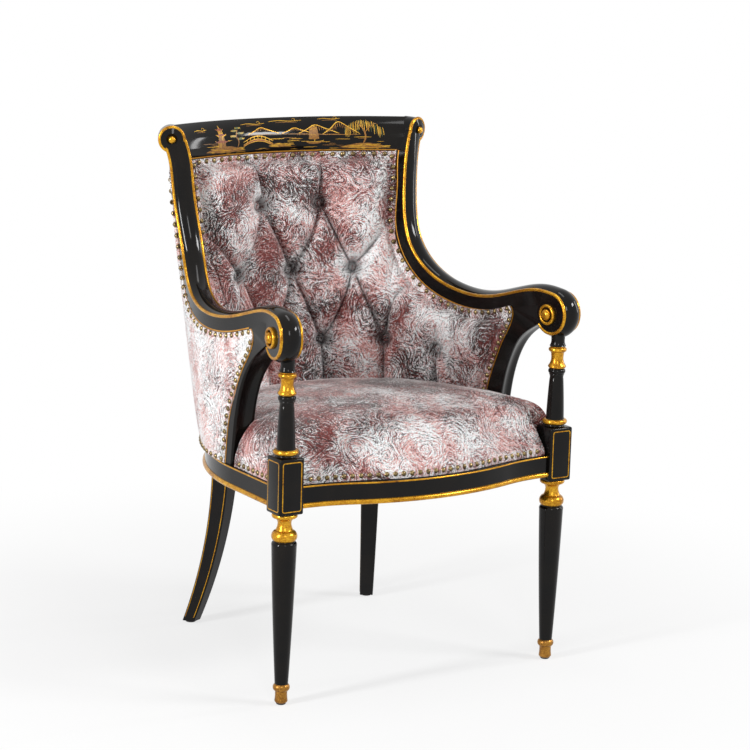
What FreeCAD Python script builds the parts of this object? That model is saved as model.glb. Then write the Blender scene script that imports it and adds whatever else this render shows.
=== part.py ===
"""Black-lacquer and gilt tub armchair, in millimetres.

+Z is up, the chair faces -Y and the sitter's left is +X. The origin is on the floor under the
middle of the chair. Left-hand pieces are modelled and the right-hand ones are mirrored.
"""
import FreeCAD, Part
import math
import os

V = FreeCAD.Vector
UP = V(0, 0, 1)

# Front legs and their square blocks
front_leg_x = 272.0
front_leg_y = -240.0
block_size = 46.0
block_bottom = 332.0
block_top = 428.0
block_chamfer = 1.5
leg_top_radius = 21.4
leg_foot_radius = 11.4
cap_height = 36.0
cap_base = 3.0
cap_tenon_radius = 7.0
cap_tenon_foot = 8.0
glide_pin_radius = 1.5
glide_pin_top = 16.0

# Arm posts
post_tenon_radius = 8.0
post_tenon_length = 26.0
post_neck_radius = 12.5

# Seat rails, all of one moulded section
rail_bottom = 340.0
rail_top = 378.0
rail_thick = 22.0
rail_bead = 4.5
rail_bead_proud = 4.0
rail_lip = 3.0
rail_lip_proud = 1.3
side_face_x = 290.0
front_rail_setback = 7.0
front_bow = 41.0
bow_turn_share = 0.62
tub_start_y = -90.0
side_radius = 400.0
rear_face_y = 251.0
tenon_thick = 10.0
tenon_length = 20.0
tenon_shoulder = 7.0

# Sabre rear legs
rear_foot_x = 191.0
rear_foot_y = 242.0
rear_sweep = 70.0
rear_toe_out = 30.0
rear_leg_top = 37.0
rear_leg_foot = 25.0
rear_tenon_width = 26.0
rear_tenon_height = 24.0
rear_glide_height = 3.0

# Moulded edge of the arms and stiles: half the span between the two beads, bead, crown and depth
edge_half = 17.5
edge_bead = 3.0
edge_crown = 9.0
edge_depth = 27.0
stile_toe = 24.0
scroll_toe = 8.0

# Arm scroll, set from the front leg
scroll_inset_y = 9.0
scroll_inset_x = 3.5
scroll_z = 627.5
scroll_radius = 35.0
scroll_lead_angle = 8.0
scroll_turn = 223.0
scroll_core = 32.0
rosette_back = 5.0
rosette_drop = 2.0
rosette_radius = 16.0
rosette_ring = 6.0
rosette_boss = 8.6
rosette_rise = 6.5
rosette_gap = 0.4
trim_gap = 0.06

# Crest rail
crest_top = 926.0
crest_border = 864.0
crest_face_y = 264.5
crest_radius = 516.0
crest_thick = 30.0
crest_half_angle = 27.0
crest_roll = 16.0
crest_lip_depth = 28.0
crest_rebate_front = 8.0
crest_rebate_back = 11.0
crest_back_border = 850.0
head_radius = 21.5
head_shift = 4.0
crest_button_radius = 5.5

# Arm support board
support_inner_x = 253.0
support_outer_x = 285.5
support_bevel = 12.0
support_top = 655.0
support_top_lead = 14.0
support_skew = 7.0
support_front = [(-212, 609), (-187, 594), (-156, 573), (-113, 510), (-97, 450), (-88, rail_top)]
support_back = [(-48, rail_top), (-57, 450), (-77, 505), (-109, 562), (-138, 604), (-153, 636)]

# Hidden frame
post_thick = 19.0
post_width = 34.0
post_top = 742.0
tack_rail_bottom = 452.0
tack_rail_height = 38.0
tack_rail_thick = 16.0
tack_rail_inset = 25.6
corner_block_bottom = 346.0
corner_block_top = 371.0
screw_radius = 2.2
screw_head_radius = 4.5
dowel_radius = 4.0
dowel_length = 36.0

# Upholstery
cover_proud = 5.0
cover_bulge = 6.0
cover_thick = 7.0
soft_gap = 0.4
bar_gap = 0.9
pad_back_inset = 27.0
pad_border_inset = 33.0
pad_foot = 381.0
arm_pad_bulge = 26.0
seat_crown = 491.0
seat_crown_y = 10.0
webbing_width = 50.0
webbing_thick = 1.5
dust_thick = 1.0
button_radius = 9.0
button_height = 6.0
tuft_spacing = 130.0
tuft_radius = 30.0
tuft_depth = 34.0
tuft_floor = 36.0
tuft_rows = [(770.0, [-65.0, 65.0]), (650.0, [-130.0, 0.0, 130.0]), (518.0, [-190.0, -65.0, 65.0, 190.0])]
border_pleats = [(-65.0, 770.0, -80.0, 860.0), (65.0, 770.0, 80.0, 860.0), (-130.0, 650.0, -195.0, 745.0),
                 (130.0, 650.0, 195.0, 745.0)]
pleat_floor = 42.0
pleat_width = 14.0
arm_tuft_y = 45.0
arm_tuft_z = 522.0
arm_tuft_inset = 34.0
side_rear_y = 115.0
side_rear_high_y = 146.0
side_front_low_y = -44.0
side_front_high_y = -124.0
cover_front_inset = 2.0
pad_end_low = 0.6
pad_end_high = 3.0
back_levels = [(381.0, 10.0, 27.0), (470.0, 28.0, 27.0), (600.0, 34.0, 27.0), (745.0, 32.0, 27.0),
               (830.0, 20.0, 25.5), (862.0, 2.0, 25.0)]
seat_levels = [(381.5, 6.0, 3.0, 50.0), (402.0, 20.0, 7.0, 50.0), (433.0, 34.0, 15.0, 52.0),
               (463.0, 58.0, 36.0, 56.0), (480.0, 120.0, 92.0, 75.0), (488.0, 190.0, 150.0, 110.0)]
webbing_x = [-150.0, -50.0, 50.0, 150.0]
webbing_y = [-188.0, -122.0, -8.0, 70.0]
dust_inset = 12.0
crest_dowel_share = 0.03

os.makedirs("parts", exist_ok=True)


def export(node, shape):
    """Write one node."""
    shape.exportStep("parts/" + node + ".step")


def mirrored(shape):
    """The right-hand twin of a left-hand piece."""
    return shape.mirror(V(0, 0, 0), V(1, 0, 0))


def export_pair(node, shape):
    """Write a left-hand piece and its mirrored twin."""
    export(node + "_left", shape)
    export(node + "_right", mirrored(shape))


def line(a, b):
    """Straight edge."""
    return Part.makeLine(a, b)


def arc(a, middle, b):
    """Circular edge through three points."""
    return Part.Arc(a, middle, b).toShape()


def polygon(points):
    """Closed straight-sided wire."""
    return Part.makePolygon(points + points[:1])


def box(x0, x1, y0, y1, z0, z1):
    """Box between two corners."""
    return Part.makeBox(x1 - x0, y1 - y0, z1 - z0, V(x0, y0, z0))


def biggest(shape):
    """Main solid of a cut that left offcuts."""
    return max(shape.Solids, key=lambda solid: solid.Volume)


def heading(degrees):
    """Level unit vector, measured from +X towards +Y."""
    return V(math.cos(math.radians(degrees)), math.sin(math.radians(degrees)), 0)


def turned(steps, x, y):
    """Revolve a half profile of (radius, height, rise); rise bows that step outwards as an arc."""
    edges = []
    for (r0, z0, _), (r1, z1, rise) in zip(steps, steps[1:]):
        a = V(r0, 0, z0)
        b = V(r1, 0, z1)
        if rise:
            across = V(z1 - z0, 0, r0 - r1).normalize()
            edges.append(arc(a, (a + b) * 0.5 + across * rise, b))
        else:
            edges.append(line(a, b))
    foot = V(0, 0, steps[0][1])
    head = V(0, 0, steps[-1][1])
    edges.append(line(b, head))
    edges.append(line(head, foot))
    edges.append(line(foot, V(steps[0][0], 0, steps[0][1])))
    solid = Part.Face(Part.Wire(edges)).revolve(V(0, 0, 0), UP, 360)
    solid.translate(V(x, y, 0))
    return solid


# Plan of the tub: straight sides, side arcs and one rear arc, all tangent
side_center = V(side_face_x - side_radius, tub_start_y, 0)
spare = side_radius - rear_face_y
rear_center_y = (side_center.x ** 2 + tub_start_y ** 2 - spare ** 2) / (2 * (spare + tub_start_y))
rear_center = V(0, rear_center_y, 0)
rear_radius = rear_face_y - rear_center_y
joint_angle = math.degrees(math.atan2(rear_center_y - tub_start_y, -side_center.x))
joint_out = heading(joint_angle)
joint_face = side_center + joint_out * side_radius


def rail_section(origin, outward):
    """Face of the rail section, its flat front at origin and its moulding towards outward."""
    def at(d, z):
        return V(origin.x, origin.y, 0) + outward * d + UP * z

    bead_top = rail_bottom + 2 * rail_bead
    lip_low = rail_top - rail_lip
    edges = [
        arc(at(0, rail_bottom), at(rail_bead_proud, rail_bottom + rail_bead), at(0, bead_top)),
        line(at(0, bead_top), at(0, lip_low)),
        arc(at(0, lip_low), at(rail_lip_proud, rail_top - rail_lip / 2), at(0, rail_top)),
        line(at(0, rail_top), at(-rail_thick, rail_top)),
        line(at(-rail_thick, rail_top), at(-rail_thick, rail_bottom)),
        line(at(-rail_thick, rail_bottom), at(0, rail_bottom)),
    ]
    return Part.Face(Part.Wire(edges))


# Front serpentine: a wide middle arc and two reverse arcs that meet it with one slope
block_half = block_size / 2
front_half = front_leg_x - block_half
front_end_y = front_leg_y - block_half + front_rail_setback
bow_slope = 2 * math.atan(front_bow / front_half)
bow_turn_x = front_half * bow_turn_share
bow_radius = bow_turn_x / math.sin(bow_slope)
bow_center = V(0, front_end_y - front_bow + bow_radius, 0)
reverse_radius = (front_half - bow_turn_x) / math.sin(bow_slope)
reverse_center = V(front_half, front_end_y - reverse_radius, 0)
bow_degrees = math.degrees(bow_slope)


def front_rail():
    """Serpentine front rail with a tenon at each end."""
    middle = rail_section(bow_center - heading(90 - bow_degrees) * bow_radius, heading(-90 - bow_degrees))
    body = middle.revolve(bow_center, UP, 2 * bow_degrees)
    end = rail_section(reverse_center + V(0, reverse_radius, 0), V(0, -1, 0))
    wing = end.revolve(reverse_center, UP, bow_degrees)
    body = body.fuse([wing, mirrored(wing), front_tenon(), mirrored(front_tenon())])
    return body.removeSplitter()


def front_tenon():
    """Tenon of the front rail, also the shape of its mortise."""
    y = front_end_y + rail_thick / 2
    return box(front_half, front_half + tenon_length, y - tenon_thick / 2, y + tenon_thick / 2,
               rail_bottom + tenon_shoulder, rail_top - tenon_shoulder)


def side_tenon():
    """Tenon of the left side rail, also the shape of its mortise."""
    x = side_face_x - rail_thick / 2
    y = front_leg_y + block_half
    return box(x - tenon_thick / 2, x + tenon_thick / 2, y - tenon_length, y,
               rail_bottom + tenon_shoulder, rail_top - tenon_shoulder)


def side_rail():
    """Left side rail: a straight run, then the side arc to the joint at the back post."""
    start = V(side_face_x, front_leg_y + block_half, 0)
    section = rail_section(start, V(1, 0, 0))
    straight = section.extrude(V(0, tub_start_y - start.y, 0))
    curved = rail_section(V(side_face_x, tub_start_y, 0), V(1, 0, 0)).revolve(side_center, UP, joint_angle)
    return straight.fuse([curved, side_tenon()]).removeSplitter()


def rear_rail():
    """Rear rail on the rear arc, from joint to joint."""
    section = rail_section(joint_face, joint_out)
    return section.revolve(rear_center, UP, 180 - 2 * joint_angle)


def front_leg():
    """Left front leg: pin-bored tenon, tapered shaft, vase turning and square block."""
    shaft = turned([
        (cap_tenon_radius, cap_tenon_foot, 0),
        (cap_tenon_radius, cap_height, 0),
        (leg_foot_radius, cap_height, 0),
        (leg_top_radius, block_bottom - 55, 0.8),
        (leg_top_radius - 2.8, block_bottom - 48.5, 1.2),
        (leg_top_radius - 2.8, block_bottom - 47, 0),
        (leg_top_radius - 6.4, block_bottom - 29, 5.0),
        (leg_top_radius - 9.8, block_bottom - 18, -0.6),
        (leg_top_radius - 4.9, block_bottom - 8, -1.5),
        (leg_top_radius - 4.9, block_bottom, 5.5),
    ], front_leg_x, front_leg_y)
    block = box(front_leg_x - block_half, front_leg_x + block_half, front_leg_y - block_half,
                front_leg_y + block_half, block_bottom, block_top)
    block = block.makeChamfer(block_chamfer, block.Edges)
    bores = [
        Part.makeCylinder(post_tenon_radius, post_tenon_length, V(front_leg_x, front_leg_y, block_top), -UP),
        Part.makeCylinder(glide_pin_radius, glide_pin_top, V(front_leg_x, front_leg_y, 0)),
        front_tenon(),
        side_tenon(),
    ]
    return shaft.fuse(block).cut(bores).removeSplitter()


def front_foot_cap():
    """Left brass ferrule with the socket for the leg's tenon."""
    outer = turned([
        (leg_foot_radius - 2.4, cap_base, 0),
        (leg_foot_radius - 0.2, cap_base + 4, 0.6),
        (leg_foot_radius - 1.0, cap_height - 14, -0.4),
        (leg_foot_radius - 0.8, cap_height - 12.5, 0),
        (leg_foot_radius + 0.2, cap_height, 3.4),
    ], front_leg_x, front_leg_y)
    axis = V(front_leg_x, front_leg_y, 0)
    socket = Part.makeCylinder(cap_tenon_radius, cap_height, axis + UP * cap_tenon_foot)
    return outer.cut([socket, Part.makeCylinder(glide_pin_radius, cap_tenon_foot, axis)])


def front_glide():
    """Left nail-on glide under the ferrule."""
    pad = leg_foot_radius - 2.6
    return turned([(pad - 1.4, 0, 0), (pad, cap_base, 0.5), (glide_pin_radius, cap_base, 0),
                   (glide_pin_radius, glide_pin_top, 0)], front_leg_x, front_leg_y)


# Rear leg: the centre line is a parabola in a plane turned outwards
rear_direction = heading(90 - rear_toe_out)
rear_across = heading(-rear_toe_out)


def rear_leg_section(z, side):
    """Level square section of the left sabre leg at one height."""
    share = 1 - z / rail_bottom
    center = V(rear_foot_x, rear_foot_y, z) - rear_direction * (rear_sweep * (1 - share ** 2))
    a = rear_direction * (side / 2)
    b = rear_across * (side / 2)
    return polygon([center - a - b, center - a + b, center + a + b, center + a - b])


rear_top_center = V(rear_foot_x, rear_foot_y, 0) - rear_direction * rear_sweep
rear_out = (rear_top_center - rear_center).normalize()
rear_seat = rear_center + rear_out * (rear_radius - rail_thick / 2)


def rear_tenon():
    """Tenon of the left rear leg, along the rail, also the shape of its mortise."""
    along = UP.cross(rear_out) * (rear_tenon_width / 2)
    deep = rear_out * (tenon_thick / 2)
    foot = rear_seat + UP * rail_bottom
    wire = polygon([foot - along - deep, foot + along - deep, foot + along + deep, foot - along + deep])
    return Part.Face(wire).extrude(UP * rear_tenon_height)


def rear_leg():
    """Left sabre leg with its tenon and the bore for the glide's pin."""
    levels = 5
    wires = []
    for i in range(levels):
        share = i / (levels - 1)
        z = rear_glide_height + (rail_bottom - rear_glide_height) * share
        wires.append(rear_leg_section(z, rear_leg_foot + (rear_leg_top - rear_leg_foot) * share))
    body = Part.makeLoft(wires, True, False).fuse(rear_tenon())
    pin = Part.makeCylinder(glide_pin_radius, glide_pin_top, V(rear_foot_x, rear_foot_y, 0))
    return body.cut(pin)


def rear_glide():
    """Left rear glide with its pin."""
    pad = rear_leg_foot / 2 - 2.5
    return turned([(pad - 1.2, 0, 0), (pad, rear_glide_height, 0.4), (glide_pin_radius, rear_glide_height, 0),
                   (glide_pin_radius, glide_pin_top, 0)], rear_foot_x, rear_foot_y)


# Centre line of the moulded edge: stile head, down the stile, round the elbow, along the arm
scroll_center = V(front_leg_x + scroll_inset_x, front_leg_y + scroll_inset_y, scroll_z)
scroll_axis = heading(scroll_toe)
scroll_forward = heading(scroll_toe - 90)
head_z = crest_top - head_radius - edge_bead
lead = math.radians(scroll_lead_angle)
scroll_normal = UP * math.cos(lead) + scroll_forward * math.sin(lead)
scroll_along = scroll_forward * math.cos(lead) - UP * math.sin(lead)
scroll_start = scroll_center + scroll_normal * scroll_radius
edge_points = [
    V(253, 210, head_z + 2),
    V(246.3, 207, head_z - 20),
    V(237.4, 201.3, 810),
    V(231.9, 185.4, 737),
    V(233, 169.5, 700),
    V(245.7, 122, 651.5),
    V(261, 45, 627),
    V(266, -62, 632.5),
    V(267.5, -149, 655.5),
    V(271.5, -200, 664.6),
    scroll_start,
]
edge_curve = Part.BSplineCurve()
edge_curve.interpolate(Points=edge_points, InitialTangent=V(-0.3, -0.1, -1),
                       FinalTangent=scroll_along)
elbow_share = 0.30


class Station:
    """Place and axes of the moulded section at one share of the edge line."""

    def __init__(self, share):
        u = edge_curve.parameterAtDistance(edge_curve.length() * share)
        self.place = edge_curve.value(u)
        self.along = edge_curve.tangent(u)[0].normalize()
        toe = stile_toe + (scroll_toe - stile_toe) * share
        wide = heading(toe)
        self.wide = (wide - self.along * wide.dot(self.along)).normalize()
        self.face = self.along.cross(self.wide)

    def at(self, w, n):
        """Point at w across the edge (outwards positive) and n above its face."""
        return self.place + self.wide * w + self.face * n


bead_low = math.radians(236)
bead_high = math.radians(60)
cheek = edge_half - edge_bead * math.cos(bead_low)


def moulded_section(station):
    """Wire of the moulded section: flat cheeks, two beads and a crowned face between them."""
    def bead(side, angle):
        w = -edge_half + edge_bead * math.cos(angle)
        return station.at(-side * w, edge_bead * math.sin(angle))

    inner_back = station.at(-cheek, -edge_depth)
    outer_back = station.at(cheek, -edge_depth)
    middle = (bead_low + bead_high) / 2
    edges = [
        line(inner_back, bead(-1, bead_low)),
        arc(bead(-1, bead_low), bead(-1, middle), bead(-1, bead_high)),
        arc(bead(-1, bead_high), station.at(0, edge_crown), bead(1, bead_high)),
        arc(bead(1, bead_high), bead(1, middle), bead(1, bead_low)),
        line(bead(1, bead_low), outer_back),
        line(outer_back, inner_back),
    ]
    return Part.Wire(edges)


def edge_loft(first, last, count):
    """Moulded member between two shares of the edge line."""
    step = (last - first) / (count - 1)
    wires = [moulded_section(Station(first + step * i)) for i in range(count)]
    return Part.makeLoft(wires, True, False)


post_axis = V(front_leg_x, front_leg_y, 0)


def arm_solid():
    """Left arm without bores: the S-curve, then the same section rolled round the scroll."""
    bar = edge_loft(elbow_share, 1.0, 12)
    last = Station(1.0)
    roll = Part.Face(moulded_section(last)).revolve(scroll_center, last.wide, scroll_turn)
    core = Part.makeCylinder(scroll_core, 2 * cheek, scroll_center - last.wide * cheek, last.wide)
    return bar.fuse([roll, core]).removeSplitter()


def arm_post(arm):
    """Left baluster: tenon in the block, turned shaft, neck coped to the scroll and upper tenon."""
    z = block_top
    shaft = turned([
        (post_tenon_radius, z - post_tenon_length, 0),
        (post_tenon_radius, z, 0),
        (19.0, z, 0),
        (16.8, z + 4.0, -0.8),
        (16.8, z + 13.0, 5.0),
        (15.8, z + 14.0, 0),
        (12.4, z + 84.0, 0.4),
        (13.4, z + 93.0, -0.9),
        (13.0, z + 94.0, 0),
        (13.0, z + 103.0, 2.2),
        (12.2, z + 103.6, 0),
        (12.4, z + 117.0, 3.6),
        (11.0, z + 125.0, -0.3),
        (12.6, z + 132.5, -0.6),
        (12.6, z + 141.0, 3.4),
        (12.6, z + 142.0, 0),
        (post_neck_radius, z + 159.0, 2.0),
        (post_neck_radius, scroll_z, 0),
    ], front_leg_x, front_leg_y)
    return shaft.cut(arm).fuse(upper_tenon())


def upper_tenon():
    """Round tenon of the post inside the scroll, also the shape of its bore."""
    foot = scroll_z - scroll_radius - edge_crown
    return Part.makeCylinder(post_tenon_radius, post_tenon_length, post_axis + UP * foot)


def rosette(side):
    """Turned rosette on one cheek of the left scroll; side is 1 outside and -1 inside."""
    base = 1.2
    solid = turned([
        (rosette_radius, 0, 0),
        (rosette_radius, base, 0),
        (rosette_radius - rosette_ring, base, 2.8),
        (rosette_boss, base, 0),
        (0.5, rosette_rise, 1.8),
    ], 0, 0)
    out = scroll_axis * side
    eye = scroll_center - scroll_forward * rosette_back - UP * rosette_drop
    solid.Placement = FreeCAD.Placement(eye + out * (cheek + rosette_gap), FreeCAD.Rotation(UP, out))
    return solid


# Crest rail: one section turned about the centre of its arc
crest_center = V(0, crest_face_y - crest_radius, 0)


def crest_section(angle):
    """Face of the crest section in the radial plane at one angle from the middle."""
    out = heading(90 - angle)
    roll_z = crest_top - crest_roll
    roll_d = crest_thick + 6.5 - crest_roll
    foot = crest_border - crest_lip_depth
    neck_z = roll_z - crest_roll * 0.8

    def at(d, z):
        return crest_center + out * (crest_radius + d) + UP * z

    sweep_mid = at(roll_d * 0.2, roll_z - 1)
    edges = [
        line(at(crest_rebate_front, foot), at(crest_rebate_front, crest_border)),
        line(at(crest_rebate_front, crest_border), at(0, crest_border)),
        arc(at(0, crest_border), sweep_mid, at(roll_d, crest_top)),
        arc(at(roll_d, crest_top), at(roll_d + crest_roll, roll_z), at(crest_thick, neck_z)),
        line(at(crest_thick, neck_z), at(crest_thick, crest_back_border)),
        line(at(crest_thick, crest_back_border), at(crest_thick - crest_rebate_back, crest_back_border)),
        line(at(crest_thick - crest_rebate_back, crest_back_border), at(crest_thick - crest_rebate_back, foot)),
        line(at(crest_thick - crest_rebate_back, foot), at(crest_rebate_front, foot)),
    ]
    return Part.Face(Part.Wire(edges))


def crest_rail(stiles):
    """Crest rail, housed round the stile heads."""
    body = crest_section(crest_half_angle).revolve(crest_center, UP, 2 * crest_half_angle)
    return body.cut(stiles)


# Outside surface of the tub between the posts: at each height one arc through three points
cover_low_end = joint_face + joint_out * cover_proud
cover_low_mid = V(0, rear_face_y + cover_proud, 0)
crest_outer = crest_radius + crest_thick
cover_high_end = crest_center + heading(90 - crest_half_angle) * crest_outer
cover_high_mid = crest_center + V(0, crest_outer, 0)


class TubArc:
    """Arc of the tub's outside at one height."""

    def __init__(self, z):
        share = (z - rail_top) / (crest_back_border - rail_top)
        swell = cover_bulge * 4 * share * (1 - share)
        end = cover_low_end * (1 - share) + cover_high_end * share
        mid = cover_low_mid * (1 - share) + cover_high_mid * share
        rise = mid.y - end.y
        self.z = z
        self.radius = (end.x ** 2 + rise ** 2) / (2 * rise)
        self.center = V(0, mid.y - self.radius, z)
        self.half = math.degrees(math.atan2(end.x, end.y - self.center.y))
        self.radius += swell

    def at(self, angle, inset):
        """Point at an angle from the middle, set in from the outside."""
        return self.center + heading(90 - angle) * (self.radius - inset)

    def by_run(self, run, inset):
        """Point at a run measured along the arc from the middle."""
        return self.at(math.degrees(run / (self.radius - inset)), inset)

    def inward(self, angle):
        """Unit vector towards the sitter."""
        return -heading(90 - angle)


def tub_strip(z, front, back, half):
    """Closed wire between two insets of the tub arc, to an angle each side."""
    tub = TubArc(z)
    left = [tub.at(half, front), tub.at(half, back)]
    right = [tub.at(-half, front), tub.at(-half, back)]
    return Part.Wire([
        arc(left[0], tub.at(0, front), right[0]),
        line(right[0], right[1]),
        arc(right[1], tub.at(0, back), left[1]),
        line(left[1], left[0]),
    ])


def levels_between(low, high, count):
    """Evenly spaced heights."""
    return [low + (high - low) * i / (count - 1) for i in range(count)]


def back_post():
    """Left hidden post from the rail joint up behind the stile."""
    wires = []
    for z in levels_between(rail_top, post_top, 4):
        tub = TubArc(z)
        out = -tub.inward(tub.half)
        center = tub.at(tub.half, cover_thick + soft_gap + post_thick / 2)
        across = UP.cross(out) * (post_width / 2)
        deep = out * (post_thick / 2)
        wires.append(polygon([center - across - deep, center + across - deep,
                              center + across + deep, center - across + deep]))
    return Part.makeLoft(wires, True, False)


def stile_head():
    """Scroll head of the left stile: a disc in the plane of the edge face with a bead most of the way."""
    station = Station(0.0)
    center = station.at(head_shift, 0)
    wall = head_radius + cheek - edge_half
    low = math.radians(236)
    high = math.radians(60)
    middle = (low + high) / 2

    def at(r, n):
        return center + station.wide * r + station.face * n

    def bead(angle):
        return at(head_radius - edge_bead * math.cos(angle), edge_bead * math.sin(angle))

    dish = edge_crown * 0.55
    rim = Part.Face(Part.Wire([
        line(at(0, -edge_depth), at(wall, -edge_depth)),
        line(at(wall, -edge_depth), bead(low)),
        arc(bead(low), bead(middle), bead(high)),
        line(bead(high), at(0, dish)),
        line(at(0, dish), at(0, -edge_depth)),
    ]))
    sector = rim.revolve(center, station.face, 360)
    return sector


def back_stile(arm):
    """Left stile: moulded edge, scroll head and the hidden post notched round the arm."""
    edge = edge_loft(0.012, elbow_share, 7)
    post = back_post().cut(arm)
    return edge.fuse([stile_head(), post]).removeSplitter()


def crest_button():
    """Left button in the eye of the stile head."""
    station = Station(0.0)
    center = station.at(head_shift, edge_crown * 0.55)
    pad = turned([(crest_button_radius * 0.8, trim_gap, 0), (crest_button_radius, 1.6, 0),
                  (0.6, crest_button_radius, 1.6)], 0, 0)
    turn = FreeCAD.Rotation(UP, station.face)
    pad.Placement = FreeCAD.Placement(center, turn)
    return pad


# Arm support: the same outline on both cheeks, the outer front set back by the bevel, the rear edge askew
def support_outline(x, setback, skew, gap):
    """Side outline of the left arm support at one cheek, grown by a gap."""
    front = [V(x, y + setback - gap, z) for y, z in support_front]
    back = [V(x, y + skew + gap, z) for y, z in support_back]
    front_edge = Part.BSplineCurve()
    front_edge.interpolate(front)
    back_edge = Part.BSplineCurve()
    back_edge.interpolate(back)
    top = V(x, front[0].y + support_top_lead, support_top)
    return Part.Wire([front_edge.toShape(), line(front[-1], back[0]), back_edge.toShape(),
                      line(back[-1], top), line(top, front[0])])


def support_blank(gap):
    """Left arm support before coping, grown by a gap."""
    wires = [support_outline(support_inner_x - gap, 0, support_skew, gap),
             support_outline(support_outer_x + gap, support_bevel, -support_skew, gap)]
    return Part.makeLoft(wires, True, True)


def edge_tool(first, last, count, gap):
    """Plain bar a little larger than the moulded member, used to trim soft pieces clear of it."""
    step = (last - first) / (count - 1)
    side = cheek + gap
    low = -edge_depth - gap
    high = edge_crown + gap
    wires = []
    for i in range(count):
        station = Station(first + step * i)
        wires.append(polygon([station.at(-side, low), station.at(side, low),
                              station.at(side, high), station.at(-side, high)]))
    return Part.makeLoft(wires, True, True)


def share_at_y(y):
    """Share of the edge line at which the arm passes one depth."""
    low = elbow_share
    high = 1.0
    for _ in range(30):
        middle = (low + high) / 2
        if Station(middle).place.y > y:
            low = middle
        else:
            high = middle
    return low


def side_plan(y, inset):
    """Point of the side rail plan at one depth, set in from the flat rail face."""
    run = max(0.0, y - tub_start_y)
    return V(side_center.x + math.sqrt((side_radius - inset) ** 2 - run ** 2), y, 0)


def side_normal(y):
    """Outward level normal of the side rail plan at one depth."""
    run = max(0.0, y - tub_start_y)
    return V(math.sqrt(side_radius ** 2 - run ** 2), run, 0).normalize()


class SideStation:
    """Upright slice of the left side between rail and arm, at share t from post to support."""

    def __init__(self, t, rear_y, rear_share):
        self.y = rear_y + (side_front_low_y - rear_y) * t
        self.out = side_normal(self.y)
        last = share_at_y(side_front_high_y)
        self.arm = Station(rear_share + (last - rear_share) * t)

    def column(self, low_z, inset, across):
        """Foot and head of the upright line at a rail inset and a place across the arm."""
        low = side_plan(self.y, inset) + UP * low_z
        return low, self.arm.at(across, -edge_depth - soft_gap)


def side_pad(gap):
    """Left inside arm pad before tufting, grown by a gap."""
    wires = []
    thick = pad_border_inset - pad_back_inset
    for i in range(5):
        station = SideStation(i / 4, side_rear_y + gap, share_at_y(side_rear_high_y))
        low, high = station.column(pad_foot, pad_border_inset - cover_proud + gap, -cheek - gap)
        middle = (low + high) * 0.5 - station.out * arm_pad_bulge
        back = station.out * thick
        wires.append(Part.Wire([arc(low, middle, high), line(high, high + back),
                                line(high + back, low + back), line(low + back, low)]))
    return Part.makeLoft(wires, True, False)


def side_cover():
    """Left outside arm cover before trimming."""
    wires = []
    for i in range(5):
        t = i / 4
        station = SideStation(t, joint_face.y, elbow_share)
        inset = cover_front_inset * t - cover_proud * (1 - t)
        low, high = station.column(rail_top + soft_gap, inset, cheek)
        middle = (low + high) * 0.5 + station.out * cover_bulge
        deep = station.out * -cover_thick
        wires.append(Part.Wire([arc(low, middle, high), line(high, high + deep),
                                arc(high + deep, middle + deep, low + deep), line(low + deep, low)]))
    return Part.makeLoft(wires, True, False)


def side_tack_rail():
    """Left tack rail between post and support before coping."""
    wires = []
    for i in range(4):
        station = SideStation(0.03 + i / 3 * 1.15, side_rear_y, share_at_y(side_rear_high_y))
        low, high = station.column(rail_top, tack_rail_inset - cover_proud,
                                   pad_border_inset - tack_rail_inset - cheek)
        deep = station.out * tack_rail_thick
        ends = [low + (high - low) * ((z - low.z) / (high.z - low.z))
                for z in (tack_rail_bottom, tack_rail_bottom + tack_rail_height)]
        wires.append(polygon([ends[0], ends[1], ends[1] + deep, ends[0] + deep]))
    return Part.makeLoft(wires, True, False)


def pad_half(z):
    """Half angle of the inside back at one height: to the post, drawn in beside the stile."""
    draw = min(1.0, max(0.0, (z - 600.0) / 85.0))
    return TubArc(z).half - pad_end_low - (pad_end_high - pad_end_low) * draw


def back_pad(gap):
    """Inside back before tufting, grown by a gap on its face."""
    wires = []
    for z, bulge, back in back_levels:
        tub = TubArc(z)
        half = pad_half(z)
        border = pad_border_inset + gap
        ends = [tub.at(half, border), tub.at(-half, border)]
        backs = [tub.at(half, back), tub.at(-half, back)]
        wires.append(Part.Wire([
            arc(ends[0], tub.at(0, border + bulge), ends[1]),
            line(ends[1], backs[1]),
            arc(backs[1], tub.at(0, back), backs[0]),
            line(backs[0], ends[0]),
        ]))
    return Part.makeLoft(wires, True, False)


def tuft(run, z):
    """Place and inward direction of one back button."""
    tub = TubArc(z)
    angle = math.degrees(run / (tub.radius - tuft_floor))
    return tub.at(angle, tuft_floor), tub.inward(angle)


def pit(place, inward):
    """Cone cut into a pad round one button."""
    return Part.makeCone(button_radius + 1.0, tuft_radius, tuft_depth, place, inward)


def pleat(start, end, inward):
    """Triangular groove from one point to another, open towards the sitter."""
    along = (end - start).normalize()
    side = along.cross(inward).normalize() * pleat_width
    rise = inward * tuft_depth
    wires = [polygon([p, p + rise + side, p + rise - side]) for p in (start, end)]
    return Part.makeLoft(wires, True, True)


def button(place, inward):
    """Covered button sitting on the floor of its tuft."""
    dome = turned([(button_radius * 0.8, soft_gap, 0), (button_radius, soft_gap + 2.0, 0.4),
                   (0.5, button_height, 1.8)], 0, 0)
    dome.Placement = FreeCAD.Placement(place, FreeCAD.Rotation(UP, inward))
    return dome


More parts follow.
